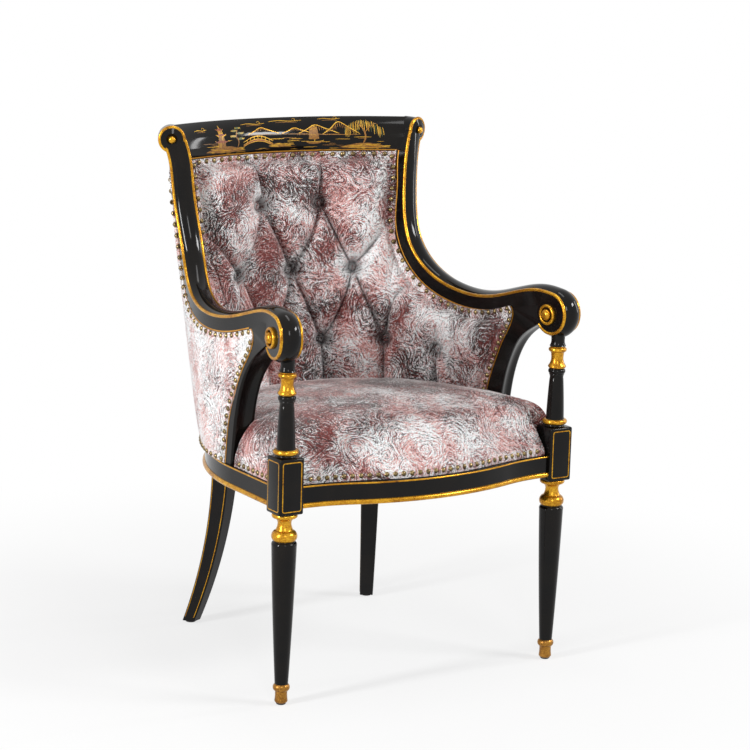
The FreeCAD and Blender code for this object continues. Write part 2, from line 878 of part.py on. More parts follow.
def back_tufts():
    """Places of the back buttons, and the grooves between neighbours and to the borders."""
    places = []
    grooves = []
    lift = pleat_floor - tuft_floor
    for row, (z, runs) in enumerate(tuft_rows):
        for run in runs:
            place, inward = tuft(run, z)
            places.append((place, inward))
            for next_z, next_runs in tuft_rows[row + 1:row + 2]:
                for next_run in next_runs:
                    if abs(next_run - run) < tuft_spacing * 0.6:
                        other, other_in = tuft(next_run, next_z)
                        mean = (inward + other_in).normalize()
                        grooves.append(pleat(place + inward * lift, other + other_in * lift, mean))
    for run, z, end_run, end_z in border_pleats:
        place, inward = tuft(run, z)
        other, other_in = tuft(end_run, end_z)
        grooves.append(pleat(place + inward * lift, other, (inward + other_in).normalize()))
    return places, grooves


def seat_outline(level):
    """Seat outline at one height: serpentine front, sides, side arcs and rear arc."""
    z, front_in, side_in, rear_in = level
    hx = side_face_x - side_in
    hb = hx * front_half / side_face_x
    y0 = front_end_y + front_in
    bow = front_bow * hb / front_half
    turn_x = hb * bow_turn_share
    turn_y = y0 - bow * (1 - bow_turn_share)
    knee_x = hb * (1 + bow_turn_share) / 2
    knee_y = y0 - bow * (1 - bow_turn_share) / 4
    rear_end = rear_center + joint_out * (rear_radius - rear_in)
    half_out = heading(joint_angle / 2)
    side_mid = side_center + half_out * (side_radius - (side_in + rear_in) / 2)
    side_y = max(tub_start_y, y0 + 20)

    def left(x, y):
        return V(x, y, z)

    def right(x, y):
        return V(-x, y, z)

    half_edges = []
    for side in (left, right):
        half_edges.append([
            line(side(hx, y0), side(hb, y0)),
            arc(side(hb, y0), side(knee_x, knee_y), side(turn_x, turn_y)),
            line(side(hx, side_y), side(hx, y0)),
            arc(side(rear_end.x, rear_end.y), side(side_mid.x, side_mid.y), side(hx, side_y)),
        ])
    front_mid = arc(left(turn_x, turn_y), left(0, y0 - bow), right(turn_x, turn_y))
    rear_mid = arc(right(rear_end.x, rear_end.y), left(0, rear_center.y + rear_radius - rear_in),
                   left(rear_end.x, rear_end.y))
    chain = half_edges[0][:2] + [front_mid] + half_edges[1][1::-1] + half_edges[1][2:] + [rear_mid]
    return Part.Wire(Part.__sortEdges__(chain + half_edges[0][3:1:-1]))


def seat_blank():
    """Crowned seat before it is cut round its neighbours."""
    wires = [seat_outline(level) for level in seat_levels]
    crown = wires[-1].copy()
    crown.scale(0.4, V(0, seat_crown_y, seat_levels[-1][0]))
    crown.translate(UP * (seat_crown - seat_levels[-1][0]))
    return Part.makeLoft(wires + [crown], True, False)


def block_keepout(gap):
    """Room of the left front block and the foot of the post."""
    block = box(front_leg_x - block_half - gap, front_leg_x + block_half + 20, front_leg_y - block_half - 40,
                front_leg_y + block_half + gap, block_bottom, block_top + gap)
    return block.fuse(Part.makeCylinder(block_half + gap, block_size, post_axis + UP * block_top))


def webbing():
    """Straps from front to back, and straps from side to side lying on them."""
    straps = []
    for x in webbing_x:
        deep = math.sqrt((rear_radius - 8) ** 2 - (abs(x) + webbing_width / 2) ** 2)
        straps.append(box(x - webbing_width / 2, x + webbing_width / 2, front_end_y + 6,
                          rear_center.y + deep, rail_top, rail_top + webbing_thick))
    for y in webbing_y:
        wide = min(side_plan(y - webbing_width / 2, 8).x, side_plan(y + webbing_width / 2, 8).x)
        straps.append(box(-wide, wide, y - webbing_width / 2, y + webbing_width / 2,
                          rail_top + webbing_thick, rail_top + 2 * webbing_thick))
    return straps


def dust_cover(legs):
    """Thin cloth tacked under the rails, cut round the legs."""
    outline = seat_outline((rail_bottom - dust_thick, dust_inset, dust_inset, dust_inset))
    sheet = Part.Face(outline).extrude(UP * dust_thick)
    return sheet.cut(legs)


def front_corner_block():
    """Left front corner block before fitting."""
    x = side_face_x - rail_thick
    y = front_leg_y + block_half
    z = corner_block_bottom
    wire = polygon([V(x, y + 75, z), V(x, y, z), V(front_half, y, z), V(front_half, y - 20, z),
                    V(front_half - 62, y - 26, z)])
    return Part.Face(wire).extrude(UP * (corner_block_top - corner_block_bottom))


def rear_corner_block():
    """Left rear corner block across the joint of side and rear rail, before fitting."""
    along = UP.cross(joint_out)
    inner = joint_face - joint_out * rail_thick + UP * corner_block_bottom
    wire = polygon([inner - along * 46 + joint_out * 12, inner + along * 46 + joint_out * 12,
                    inner + along * 34 - joint_out * 22, inner - along * 34 - joint_out * 22])
    return Part.Face(wire).extrude(UP * (corner_block_top - corner_block_bottom))


def screw(head, direction, length):
    """Wood screw with a flat head let into the block."""
    shank = Part.makeCylinder(screw_radius, length, head, direction)
    return shank.fuse(Part.makeCone(screw_head_radius, screw_radius, 3.0, head, direction)).removeSplitter()


def block_screws():
    """Screws of the left corner blocks."""
    z = (corner_block_bottom + corner_block_top) / 2
    x = side_face_x - rail_thick
    y = front_leg_y + block_half
    along = UP.cross(joint_out)
    inner = joint_face - joint_out * (rail_thick + 22) + UP * z
    return [
        screw(V(x - 30, y + 30, z), V(1, 0, 0), 42),
        screw(V(front_half - 22, y + 18, z), V(0, -1, 0), 44),
        screw(inner + along * 26, joint_out, 36),
        screw(inner - along * 26, joint_out, 36),
    ]


def dowel(center, direction, length):
    """Plain dowel centred on a joint."""
    return Part.makeCylinder(dowel_radius, length, center - direction * (length / 2), direction)


def left_dowels():
    """Dowels of the left-hand joints: elbow, rail joint, post foot, crest and arm support."""
    elbow = Station(elbow_share)
    head = Station(crest_dowel_share)
    along = UP.cross(joint_out)
    joint = joint_face - joint_out * (rail_thick / 2)
    support = V(side_face_x - rail_thick / 2 - 2, (support_front[-1][0] + support_back[0][0]) / 2 + 3, rail_top)
    return [
        dowel(elbow.at(-8, -edge_depth / 2), elbow.along, dowel_length),
        dowel(elbow.at(8, -edge_depth / 2), elbow.along, dowel_length),
        dowel(joint + UP * (rail_bottom + 8), along, dowel_length),
        dowel(joint + UP * (rail_bottom + 19), along, dowel_length),
        dowel(joint + along * 10 + UP * rail_top, UP, dowel_length * 0.75),
        dowel(head.at(0, -edge_depth), head.face, dowel_length * 0.5),
        dowel(support, UP, dowel_length),
    ]


def both(shapes):
    """Left-hand shapes together with their mirrored twins."""
    return shapes + [mirrored(shape) for shape in shapes]


arm_blank = arm_solid()
stile_blank = back_stile(arm_blank)
dowels = left_dowels()
screws = block_screws()
support = biggest(support_blank(0).cut(arm_blank))
arm = arm_blank.cut([upper_tenon()] + dowels)
stile = stile_blank.cut(dowels)
crest = crest_rail(both([stile_blank])).cut(both(dowels))
leg = front_leg()
sabre = rear_leg()
front = front_rail().cut(both(screws))
side = side_rail().cut(dowels + screws)
rear = rear_rail().cut(both(dowels + screws + [rear_tenon()]))

export("front_seat_rail", front)
export_pair("side_seat_rail", side)
export("rear_seat_rail", rear)
export_pair("front_leg", leg)
export_pair("front_foot_cap", front_foot_cap())
export("front_glides", Part.makeCompound(both([front_glide()])))
export_pair("rear_leg", sabre)
export("rear_glides", Part.makeCompound(both([rear_glide()])))
export_pair("arm", arm)
export_pair("arm_post", arm_post(arm_blank))
export_pair("scroll_rosettes", Part.makeCompound([rosette(1), rosette(-1)]))
export_pair("back_stile", stile)
export("crest_buttons", Part.makeCompound(both([crest_button()])))
export("crest_rail", crest)
export_pair("arm_support", support.cut(dowels))

# Hidden frame
front_block = biggest(front_corner_block().cut([front, leg] + screws))
rear_block = biggest(rear_corner_block().cut([side, rear] + screws))
export("front_corner_blocks", Part.makeCompound(both([front_block])))
export("rear_corner_blocks", Part.makeCompound(both([rear_block])))
export("corner_block_screws", Part.makeCompound(both(screws)))
export("frame_dowels", Part.makeCompound(both(dowels)))
back_strips = [tub_strip(z, tack_rail_inset, tack_rail_inset - tack_rail_thick, TubArc(z).half)
               for z in (tack_rail_bottom, tack_rail_bottom + tack_rail_height)]
back_tack = Part.makeLoft(back_strips, True, True).cut(both([stile_blank]))
export("back_tack_rail", biggest(back_tack))
side_tack = side_tack_rail().cut([stile_blank, support])
export_pair("arm_tack_rail", biggest(side_tack))

# Upholstery
bar_keepout = edge_tool(0.0, 1.0, 32, bar_gap)
support_keepout = support_blank(soft_gap)
cover_strips = [tub_strip(z, cover_thick, 0, TubArc(z).half) for z in
                levels_between(rail_top + soft_gap, crest_back_border - soft_gap, 5)]
back_cover = biggest(Part.makeLoft(cover_strips, True, False).cut(both([bar_keepout, stile_blank])))
export("outside_back_panel", back_cover)
arm_cover = side_cover().cut([bar_keepout, support_keepout, stile_blank, back_cover])
export_pair("outside_arm_panel", biggest(arm_cover))
button_places, grooves = back_tufts()
pits = [pit(place, inward) for place, inward in button_places]
inside_back = back_pad(0).cut(both([bar_keepout, stile_blank]) + pits + grooves)
export("inside_back_pad", biggest(inside_back))
arm_tuft = side_plan(arm_tuft_y, arm_tuft_inset) + UP * arm_tuft_z
arm_tuft_in = -side_normal(arm_tuft_y)
inside_arm = biggest(side_pad(0).cut([bar_keepout, support_keepout, pit(arm_tuft, arm_tuft_in)]))
export_pair("inside_arm_pad", inside_arm)
buttons = [button(place, inward) for place, inward in button_places]
buttons += both([button(arm_tuft, arm_tuft_in)])
export("back_buttons", Part.makeCompound(buttons))
seat_neighbours = both([support_keepout, block_keepout(soft_gap), side_pad(soft_gap), inside_arm])
seat = seat_blank().cut(seat_neighbours + [back_pad(soft_gap)])
export("seat_cushion", biggest(seat))
export("seat_webbing", Part.makeCompound(webbing()))
export("dust_cover", biggest(dust_cover(both([leg, sabre]))))
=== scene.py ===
"""Black-lacquer and gilt tub armchair, dressed for the eye.

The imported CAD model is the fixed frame. Every visible piece is made here at the CAD's own places, in
millimetres, and scaled to metres when its mesh is made.
"""

import logging
import math
from dataclasses import dataclass, field
from enum import IntEnum
from typing import Callable, Sequence

import bmesh
import bpy
import numpy as np
from mathutils import Matrix, Vector


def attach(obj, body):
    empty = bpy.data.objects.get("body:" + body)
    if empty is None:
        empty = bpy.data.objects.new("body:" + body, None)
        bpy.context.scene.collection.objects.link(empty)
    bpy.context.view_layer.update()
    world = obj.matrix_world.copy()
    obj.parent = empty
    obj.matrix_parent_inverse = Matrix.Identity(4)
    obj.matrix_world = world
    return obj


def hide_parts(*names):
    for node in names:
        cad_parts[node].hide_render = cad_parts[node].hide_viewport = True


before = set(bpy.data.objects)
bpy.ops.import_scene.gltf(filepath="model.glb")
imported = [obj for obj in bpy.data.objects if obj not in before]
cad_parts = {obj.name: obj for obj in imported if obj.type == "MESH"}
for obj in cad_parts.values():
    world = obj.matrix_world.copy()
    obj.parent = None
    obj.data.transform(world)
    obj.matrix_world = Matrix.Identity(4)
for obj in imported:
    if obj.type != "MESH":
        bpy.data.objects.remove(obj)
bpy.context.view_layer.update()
LOG = logging.getLogger("armchair")
MM = 0.001
UP = np.array([0.0, 0.0, 1.0])
SIDES = ((False, "left"), (True, "right"))
Rule = Callable[[Vector, Vector], int]
Two = tuple[float, float]
Three = tuple[float, float, float]
Arrays = tuple[np.ndarray, np.ndarray]
Piece = bpy.types.Object
Material = bpy.types.Material
Tree = bpy.types.NodeTree
Socket = bpy.types.NodeSocket


class Coat(IntEnum):
    """Material slots of a show-frame piece."""

    LACQUER = 0
    GILT = 1


def srgb(code: str) -> tuple[float, float, float, float]:
    """Turn an sRGB hex code into a linear colour.

    Args:
        code: Hex digits, with or without a leading hash.

    Returns:
        Linear red, green, blue and alpha.
    """
    digits = code.lstrip("#")
    parts = [int(digits[i:i + 2], 16) / 255 for i in (0, 2, 4)]
    linear = [c / 12.92 if c <= 0.04045 else ((c + 0.055) / 1.055) ** 2.4 for c in parts]
    return (linear[0], linear[1], linear[2], 1.0)


def per(size_mm: float) -> float:
    """Scale of a pattern whose features have a size in millimetres."""
    return 1 / (size_mm * MM)


def feed(tree: Tree, node: bpy.types.Node, inputs: dict) -> None:
    """Set or link inputs of a node.

    Args:
        tree: Node tree that holds the node.
        node: The node.
        inputs: Socket name or index to a value, or to a socket to link from.
    """
    for key, value in inputs.items():
        if isinstance(value, Socket):
            tree.links.new(value, node.inputs[key])
        else:
            node.inputs[key].default_value = value


def add(tree: Tree, kind: str, inputs: dict | None = None,
        stops: Sequence[tuple[float, str]] = (), **settings: object) -> bpy.types.bpy_prop_collection:
    """Add one shader node with its settings and links.

    Args:
        tree: Node tree that gets the node.
        kind: Blender's node type name after ShaderNode.
        inputs: Inputs as for feed.
        stops: Position and hex colour of each stop, on a colour ramp.
        settings: Attributes of the node.

    Returns:
        The node's outputs.
    """
    node = tree.nodes.new("ShaderNode" + kind)
    for name, value in settings.items():
        setattr(node, name, value)
    if stops:
        elements = node.color_ramp.elements
        while len(elements) < len(stops):
            elements.new(0.5)
        for element, (place, code) in zip(elements, stops):
            element.position = place
            element.color = srgb(code)
    feed(tree, node, inputs or {})
    return node.outputs


def fresh_material(name: str) -> tuple[Material, Tree, bpy.types.Node, Socket]:
    """Make a node material.

    Args:
        name: Name of the real material.

    Returns:
        The material, its tree, its Principled shader and the object's coordinates.
    """
    material = bpy.data.materials.new(name)
    material.use_nodes = True
    tree = material.node_tree
    return material, tree, tree.nodes["Principled BSDF"], add(tree, "TexCoord")["Object"]


@dataclass(frozen=True)
class BlackLacquer:
    """Polished black lacquer on hardwood: deep gloss, faint ripple, soft rub marks in the polish."""

    colour: str = "#0a0909"
    rubbed: str = "#15110d"
    roughness: float = 0.07
    haze: float = 0.06
    ripple_mm: float = 9.0
    rub_mm: float = 70.0
    refraction: float = 1.52
    specular: float = 0.17

    def material(self) -> Material:
        """Build the node material."""
        material, tree, shader, place = fresh_material("black lacquer, polished")
        broad = {"Vector": place, "Scale": per(self.rub_mm), "Detail": 5.0, "Roughness": 0.62}
        rub = add(tree, "TexNoise", broad)[0]
        ripple = add(tree, "TexNoise", {"Vector": place, "Scale": per(self.ripple_mm), "Detail": 1.0})[0]
        dull = {0: rub, 1: 0.35, 2: 0.75, 3: self.roughness, 4: self.roughness + self.haze}
        feed(tree, shader, {
            "Base Color": add(tree, "ValToRGB", {0: rub}, [(0.42, self.colour), (0.72, self.rubbed)])[0],
            "Roughness": add(tree, "MapRange", dull)[0],
            "Normal": add(tree, "Bump", {"Strength": 0.02, "Distance": 0.001, "Height": ripple})[0],
            "IOR": self.refraction, "Specular IOR Level": self.specular})
        return material


@dataclass(frozen=True)
class AntiqueGilt:
    """Gilt paint under an umber glaze: warm yellow metal with brown left in the brush marks."""

    bright: str = "#e0a92a"
    body: str = "#a97010"
    glaze: str = "#543006"
    roughness: float = 0.16
    stroke_mm: float = 7.0
    name: str = "antique gilt, glazed"
    dulled: float = 0.16
    metallic: float = 0.75

    def material(self) -> Material:
        """Build the node material."""
        material, tree, shader, place = fresh_material(self.name)
        coarse = {"Vector": place, "Scale": per(4 * self.stroke_mm), "Detail": 4.0, "Roughness": 0.65}
        broad = add(tree, "TexNoise", coarse)[0]
        fine = add(tree, "TexNoise", {"Vector": place, "Scale": per(self.stroke_mm * 0.35), "Detail": 3.0})[0]
        both = add(tree, "Math", {0: broad, 1: fine}, operation="ADD")[0]
        mean = add(tree, "Math", {0: both, 1: 0.5}, operation="MULTIPLY")[0]
        stops = [(0.30, self.glaze), (0.43, self.body), (0.62, self.bright)]
        dull = {0: mean, 1: 0.35, 2: 0.65, 3: self.roughness + self.dulled, 4: self.roughness}
        feed(tree, shader, {
            "Base Color": add(tree, "ValToRGB", {0: mean}, stops)[0],
            "Roughness": add(tree, "MapRange", dull)[0],
            "Normal": add(tree, "Bump", {"Strength": 0.06, "Distance": 0.0006, "Height": fine})[0],
            "Metallic": self.metallic})
        return material


@dataclass(frozen=True)
class PlainFinish:
    """Small hidden or dark parts: one body colour with a fine moulded or woven grain."""

    name: str
    colour: str
    shade: str
    roughness: float
    grain_mm: float
    metallic: float = 0.0

    def material(self) -> Material:
        """Build the node material."""
        material, tree, shader, place = fresh_material(self.name)
        grain = add(tree, "TexNoise", {"Vector": place, "Scale": per(self.grain_mm), "Detail": 3.0})[0]
        feed(tree, shader, {
            "Base Color": add(tree, "ValToRGB", {0: grain}, [(0.35, self.shade), (0.65, self.colour)])[0],
            "Normal": add(tree, "Bump", {"Strength": 0.2, "Distance": 0.0004, "Height": grain})[0],
            "Roughness": self.roughness, "Metallic": self.metallic})
        return material


@dataclass(frozen=True)
class MarbledChenille:
    """Jacquard chenille with combed marbling: short pile strokes that run round whorls.

    Pale grey, rose, charcoal and maroon strokes lie side by side, and patches lean light or dark. Single
    threads are about 0.4 mm, too fine to show here, so a stroke is drawn about 1.5 mm wide.
    """

    pale: str = "#f1f4f5"
    rose: str = "#d49c96"
    charcoal: str = "#2b2423"
    maroon: str = "#733230"
    whorl_mm: float = 90.0
    stroke_mm: float = 1.45
    stroke_long_mm: float = 5.5
    speck_mm: float = 1.6
    speckle: float = 0.34
    taps: int = 6
    bite: float = 8.0
    patch_mm: float = 104.0
    blush_mm: float = 70.0
    blush_shift: Three = (3.1, 1.7, 2.3)
    bands: float = 22.0
    light_sway: float = 0.13
    warm_sway: float = -0.08
    paler: float = 0.0
    warmth: Two = (0.0, 0.82)
    # Share of the colour taken away where the hollow attribute is 1: painted shade in pits and pleats.
    shade: float = 0.72
    name: str = "marbled chenille"

    def material(self) -> Material:
        """Build the node material."""
        material, tree, shader, place = fresh_material(self.name)
        swirl, slope = self._whorl(tree, place)
        outward = add(tree, "NewGeometry")["Normal"]
        flow = add(tree, "VectorMath", {0: outward, 1: slope}, operation="CROSS_PRODUCT")[0]
        flow = add(tree, "VectorMath", {0: flow}, operation="NORMALIZE")[0]
        strokes = self._strokes(tree, place, flow)
        speck = add(tree, "TexNoise", {"Vector": place, "Scale": per(self.speck_mm), "Detail": 1.0})["Color"]
        grain = add(tree, "Mix", {0: self.speckle, 4: strokes, 5: speck}, data_type="VECTOR")[1]
        fields = add(tree, "SeparateXYZ", {0: grain})
        slow = {"Detail": 2.0, "Roughness": 0.55}
        patch = slow | {"Vector": place, "Scale": per(self.patch_mm), "Distortion": 0.6}
        apart = add(tree, "VectorMath", {0: place, 1: self.blush_shift}, operation="ADD")[0]
        blush = slow | {"Vector": apart, "Scale": per(self.blush_mm), "Distortion": 0.5}
        band = add(tree, "Math", {0: swirl, 1: self.bands * 2 * math.pi}, operation="MULTIPLY")[0]
        band = add(tree, "Math", {0: band}, operation="SINE")[0]
        span = (0.03 + self.paler, 0.92 + 0.5 * self.paler)
        light = self._lean(tree, add(tree, "TexNoise", patch)[0], span, fields[0], band, self.light_sway)
        warm = self._lean(tree, add(tree, "TexNoise", blush)[0], self.warmth, fields[1], band, self.warm_sway)
        pale, dark = (add(tree, "Mix", {0: warm, 6: srgb(cool), 7: srgb(red)}, data_type="RGBA")[2]
                      for cool, red in ((self.pale, self.rose), (self.charcoal, self.maroon)))
        body = add(tree, "Mix", {0: light, 6: dark, 7: pale}, data_type="RGBA")[2]
        # Painted shade: the hollow attribute darkens the base colour in pits, along pleats and on the
        # buttons.
        hollow = add(tree, "Attribute", attribute_name="hollow")["Fac"]
        kept = add(tree, "Math", {0: hollow, 1: -self.shade, 2: 1.0}, operation="MULTIPLY_ADD")[0]
        feed(tree, shader, {
            "Base Color": add(tree, "VectorMath", {0: body, "Scale": kept}, operation="SCALE")[0],
            "Normal": add(tree, "Bump", {"Strength": 0.22, "Distance": 0.0010, "Height": fields[2]})[0],
            "Roughness": 0.7, "Sheen Weight": 0.45, "Sheen Roughness": 0.35, "Specular IOR Level": 0.3})
        return material

    def _whorl(self, tree: Tree, place: Socket) -> tuple[Socket, Socket]:
        """Smooth whorl field and its slope.

        Args:
            tree: Node tree to build in.
            place: Coordinates.

        Returns:
            The field's value and its slope vector.
        """
        step = 0.05 * self.whorl_mm * MM
        look = {"Scale": per(self.whorl_mm), "Detail": 1.6, "Roughness": 0.5}
        values = []
        for shift in ((0, 0, 0), (step, 0, 0), (0, step, 0), (0, 0, step)):
            moved = add(tree, "VectorMath", {0: place, 1: shift}, operation="ADD")[0]
            values.append(add(tree, "TexNoise", look | {"Vector": moved})[0])
        rises = [add(tree, "Math", {0: value, 1: values[0]}, operation="SUBTRACT")[0] for value in values[1:]]
        return values[0], add(tree, "CombineXYZ", dict(enumerate(rises)))[0]

    def _strokes(self, tree: Tree, place: Socket, flow: Socket) -> Socket:
        """Fine grain smeared along the flow, three fields in one vector.

        Args:
            tree: Node tree to build in.
            place: Coordinates.
            flow: Unit direction of the strokes.

        Returns:
            Mean of the smeared grain.
        """
        total = None
        for tap in range(self.taps):
            reach = (tap / (self.taps - 1) - 0.5) * self.stroke_long_mm * MM
            away = add(tree, "VectorMath", {0: flow, "Scale": reach}, operation="SCALE")[0]
            spot = add(tree, "VectorMath", {0: place, 1: away}, operation="ADD")[0]
            look = {"Vector": spot, "Scale": per(self.stroke_mm), "Detail": 0.0}
            grain = add(tree, "TexNoise", look)["Color"]
            if total is None:
                total = grain
            else:
                total = add(tree, "VectorMath", {0: total, 1: grain}, operation="ADD")[0]
        return add(tree, "VectorMath", {0: total, "Scale": 1 / self.taps}, operation="SCALE")[0]

    def _lean(self, tree: Tree, patch: Socket, span: Two, grain: Socket, band: Socket,
              sway: float) -> Socket:
        """Share of one colour: patches lean it, strokes and bands break it up.

        Args:
            tree: Node tree to build in.
            patch: Slow field.
            span: Share at the low end and at the high end of the slow field.
            grain: Stroke field.
            band: Bands that follow the whorls.
            sway: Strength of the bands.

        Returns:
            The share, from 0 to 1.
        """
        lean = add(tree, "MapRange", {0: patch, 1: 0.34, 2: 0.65, 3: span[0], 4: span[1]})[0]
        centred = add(tree, "Math", {0: grain, 1: 0.5}, operation="SUBTRACT")[0]
        broken = add(tree, "Math", {0: centred, 1: self.bite, 2: lean}, operation="MULTIPLY_ADD")[0]
        swayed = add(tree, "Math", {0: band, 1: sway, 2: broken}, operation="MULTIPLY_ADD")[0]
        return add(tree, "MapRange", {0: swayed, 1: 0.29, 2: 0.71, 3: 0.0, 4: 1.0})[0]


class Palette:
    """All finishes of the chair as built materials."""

    def __init__(self) -> None:
        """Build every material."""
        self.lacquer = BlackLacquer().material()
        self.gilt = AntiqueGilt().material()
        self.frame = [self.lacquer, self.gilt]
        self.cloth = MarbledChenille().material()
        # Outside covers get a paler copy of the cloth: partly a paler part of the pattern, partly painted
        # light where the outside panels catch more light.
        self.outer_cloth_paler_and_lit = MarbledChenille(
            paler=0.46, warmth=(-0.1, 0.60), name="marbled chenille, paler run and painted light").material()
        self.brass = AntiqueGilt("#b88434", "#85591f", "#452b0e", 0.26, name="foot brass, aged").material()
        self.nail = AntiqueGilt("#9a865c", "#5a4a30", "#2a2115", 0.15, name="nail brass, antiqued").material()
        self.line = AntiqueGilt("#d29a3c", "#b67c26", "#85560f", 0.38, name="gilt line, painted").material()
        self.picture = [
            AntiqueGilt("#e3b748", "#bd8a2a", "#7a5012", 0.42, 3.0, "picture gold").material(),
            PlainFinish("picture ochre paint", "#a06c1f", "#6b430f", 0.4, 2.2).material(),
            PlainFinish("picture red paint", "#a0522c", "#6d2c16", 0.4, 2.2).material(),
            PlainFinish("picture green paint", "#66703a", "#3c4521", 0.4, 2.2).material()]
        self.beech = PlainFinish("beech, sawn", "#c79f74", "#a87f55", 0.75, 9.0).material()
        self.zinc = PlainFinish("screw zinc", "#b9bab4", "#8f918c", 0.35, 4.0, 1.0).material()
        self.jute = PlainFinish("jute webbing, woven", "#a5875d", "#6f5636", 0.92, 1.6).material()
        self.nylon = PlainFinish("glide nylon, moulded", "#2a2420", "#1c1815", 0.55, 3.0).material()
        self.cambric = PlainFinish("black cambric, woven", "#1d1c1c", "#101010", 0.9, 1.2).material()


def vec(*values: float) -> np.ndarray:
    """Array of three numbers."""
    return np.array(values, dtype=float)


def unit(value: np.ndarray) -> np.ndarray:
    """Vector of length one."""
    return value / np.linalg.norm(value)


def heading(degrees: float) -> np.ndarray:
    """Level unit vector, measured from +X towards +Y."""
    return vec(math.cos(math.radians(degrees)), math.sin(math.radians(degrees)), 0.0)


def flip(points: np.ndarray) -> np.ndarray:
    """Mirror points to the other side of the chair."""
    return np.asarray(points) * vec(-1.0, 1.0, 1.0)


def sided(points: np.ndarray, mirror: bool) -> np.ndarray:
    """Points as they are, or mirrored for the right-hand side."""
    return flip(points) if mirror else points


def halves(left: np.ndarray) -> np.ndarray:
    """Left half of a line or grid with its mirror image, joined in the middle."""
    return np.concatenate([left, flip(left[:-1][::-1])])


def ease(line: np.ndarray, times: int) -> np.ndarray:
    """Soften a line in place, with its ends kept."""
    for _ in range(times):
        line[1:-1] = (line[:-2] + 2 * line[1:-1] + line[2:]) / 4
    return line


def unit_rows(values: np.ndarray) -> np.ndarray:
    """Vectors of length one, along the last axis."""
    return values / np.linalg.norm(values, axis=-1)[..., None]


def rising(values: np.ndarray, start: float, run: float) -> np.ndarray:
    """Share of a run that values have covered, from 0 to 1."""
    return np.clip((values - start) / run, 0, 1)


def quarter_round(share: np.ndarray) -> np.ndarray:
    """Height of a quarter circle at a share of its run."""
    return np.sqrt(1 - (1 - share) ** 2)


def run_of(points: np.ndarray) -> np.ndarray:
    """Way along a polyline up to each of its points."""
    return np.concatenate([[0.0], np.cumsum(np.linalg.norm(np.diff(points, axis=0), axis=1))])


def read(places: float | np.ndarray, run: np.ndarray, rows: np.ndarray) -> np.ndarray:
    """Rows of values at some places of a run."""
    return np.stack([np.interp(places, run, column) for column in rows.T], axis=-1)


def hermite(t: np.ndarray, step: np.ndarray, ends: Arrays, rates: Arrays) -> np.ndarray:
    """Cubic over one step between two ends, with the rates at which it leaves and arrives."""
    return ((2 * t ** 3 - 3 * t ** 2 + 1) * ends[0] + (t ** 3 - 2 * t ** 2 + t) * step * rates[0]
            + (3 * t ** 2 - 2 * t ** 3) * ends[1] + (t ** 3 - t ** 2) * step * rates[1])


def soft_rows(rows: np.ndarray, steps: int) -> np.ndarray:
    """Pass a smooth curve through a row of points, or through every column of rows."""
    padded = np.concatenate([2 * rows[:1] - rows[1:2], rows, 2 * rows[-1:] - rows[-2:-1]])
    out = []
    for p0, p1, p2, p3 in zip(padded, padded[1:], padded[2:], padded[3:]):
        for t in np.linspace(0, 1, steps, endpoint=False):
            out.append(0.5 * (2 * p1 + (p2 - p0) * t + (2 * p0 - 5 * p1 + 4 * p2 - p3) * t ** 2
                              + (3 * p1 - p0 - 3 * p2 + p3) * t ** 3))
    return np.array(out + [rows[-1]])


def arc_points(a: Sequence[float], b: Sequence[float], rise: float, count: int) -> list[Two]:
    """Points after a up to b on an arc that bows to the right of the way from a to b.

    Args:
        a: Start in the plane.
        b: End in the plane.
        rise: Height of the arc over its chord.
        count: Number of steps.

    Returns:
        The points, without a.
    """
    ax, ay = a
    bx, by = b
    if abs(rise) < 1e-6:
        return [(bx, by)]
    dx, dy = bx - ax, by - ay
    chord = math.hypot(dx, dy)
    nx, ny = dy / chord, -dx / chord
    radius = (chord * chord / 4 + rise * rise) / (2 * rise)
    cx = (ax + bx) / 2 + nx * (rise - radius)
    cy = (ay + by) / 2 + ny * (rise - radius)
    start = math.atan2(ay - cy, ax - cx)
    top = math.atan2(ny * rise + (ay + by) / 2 - cy, nx * rise + (ax + bx) / 2 - cx)
    turn = 2 * ((top - start + math.pi) % (2 * math.pi) - math.pi)
    size = abs(radius)
    return [(cx + size * math.cos(start + turn * i / count), cy + size * math.sin(start + turn * i / count))
            for i in range(1, count + 1)]


def only(*objects: Piece) -> None:
    """Select just these objects and make the first one active."""
    bpy.ops.object.select_all(action="DESELECT")
    for item in objects:
        item.select_set(True)
    bpy.context.view_layer.objects.active = objects[0]


def edit_all(item: Piece) -> None:
    """Enter edit mode with the whole mesh selected."""
    only(item)
    bpy.ops.object.mode_set(mode="EDIT")
    bpy.ops.mesh.select_all(action="SELECT")


def mend(item: Piece, merge_mm: float = 0.002) -> None:
    """Merge doubles and turn faces outwards."""
    edit_all(item)
    bpy.ops.mesh.remove_doubles(threshold=merge_mm * MM)
    bpy.ops.mesh.normals_make_consistent(inside=False)
    bpy.ops.object.mode_set(mode="OBJECT")


def smooth(item: Piece, degrees: float = 32.0) -> None:
    """Shade smooth, with edges sharper than the angle left crisp."""
    only(item)
    bpy.ops.object.shade_smooth_by_angle(angle=math.radians(degrees))


def apply_modifiers(item: Piece) -> None:
    """Apply every modifier in order."""
    only(item)
    for modifier in list(item.modifiers):
        bpy.ops.object.modifier_apply(modifier=modifier.name)


def mesh_object(name: str, points: np.ndarray, faces: Sequence[Sequence[int]],
                edges: Sequence[Sequence[int]] = ()) -> Piece:
    """Make an object from points in millimetres.

    Args:
        name: Name of the piece.
        points: Rows of x, y and z.
        faces: Vertex numbers of each face.
        edges: Vertex numbers of loose edges.

    Returns:
        The object, at the origin.
    """
    mesh = bpy.data.meshes.new(name)
    spots = [tuple(point) for point in np.asarray(points) * MM]
    mesh.from_pydata(spots, [tuple(edge) for edge in edges], [tuple(face) for face in faces])
    mesh.update()
    item = bpy.data.objects.new(name, mesh)
    bpy.context.collection.objects.link(item)
    return item


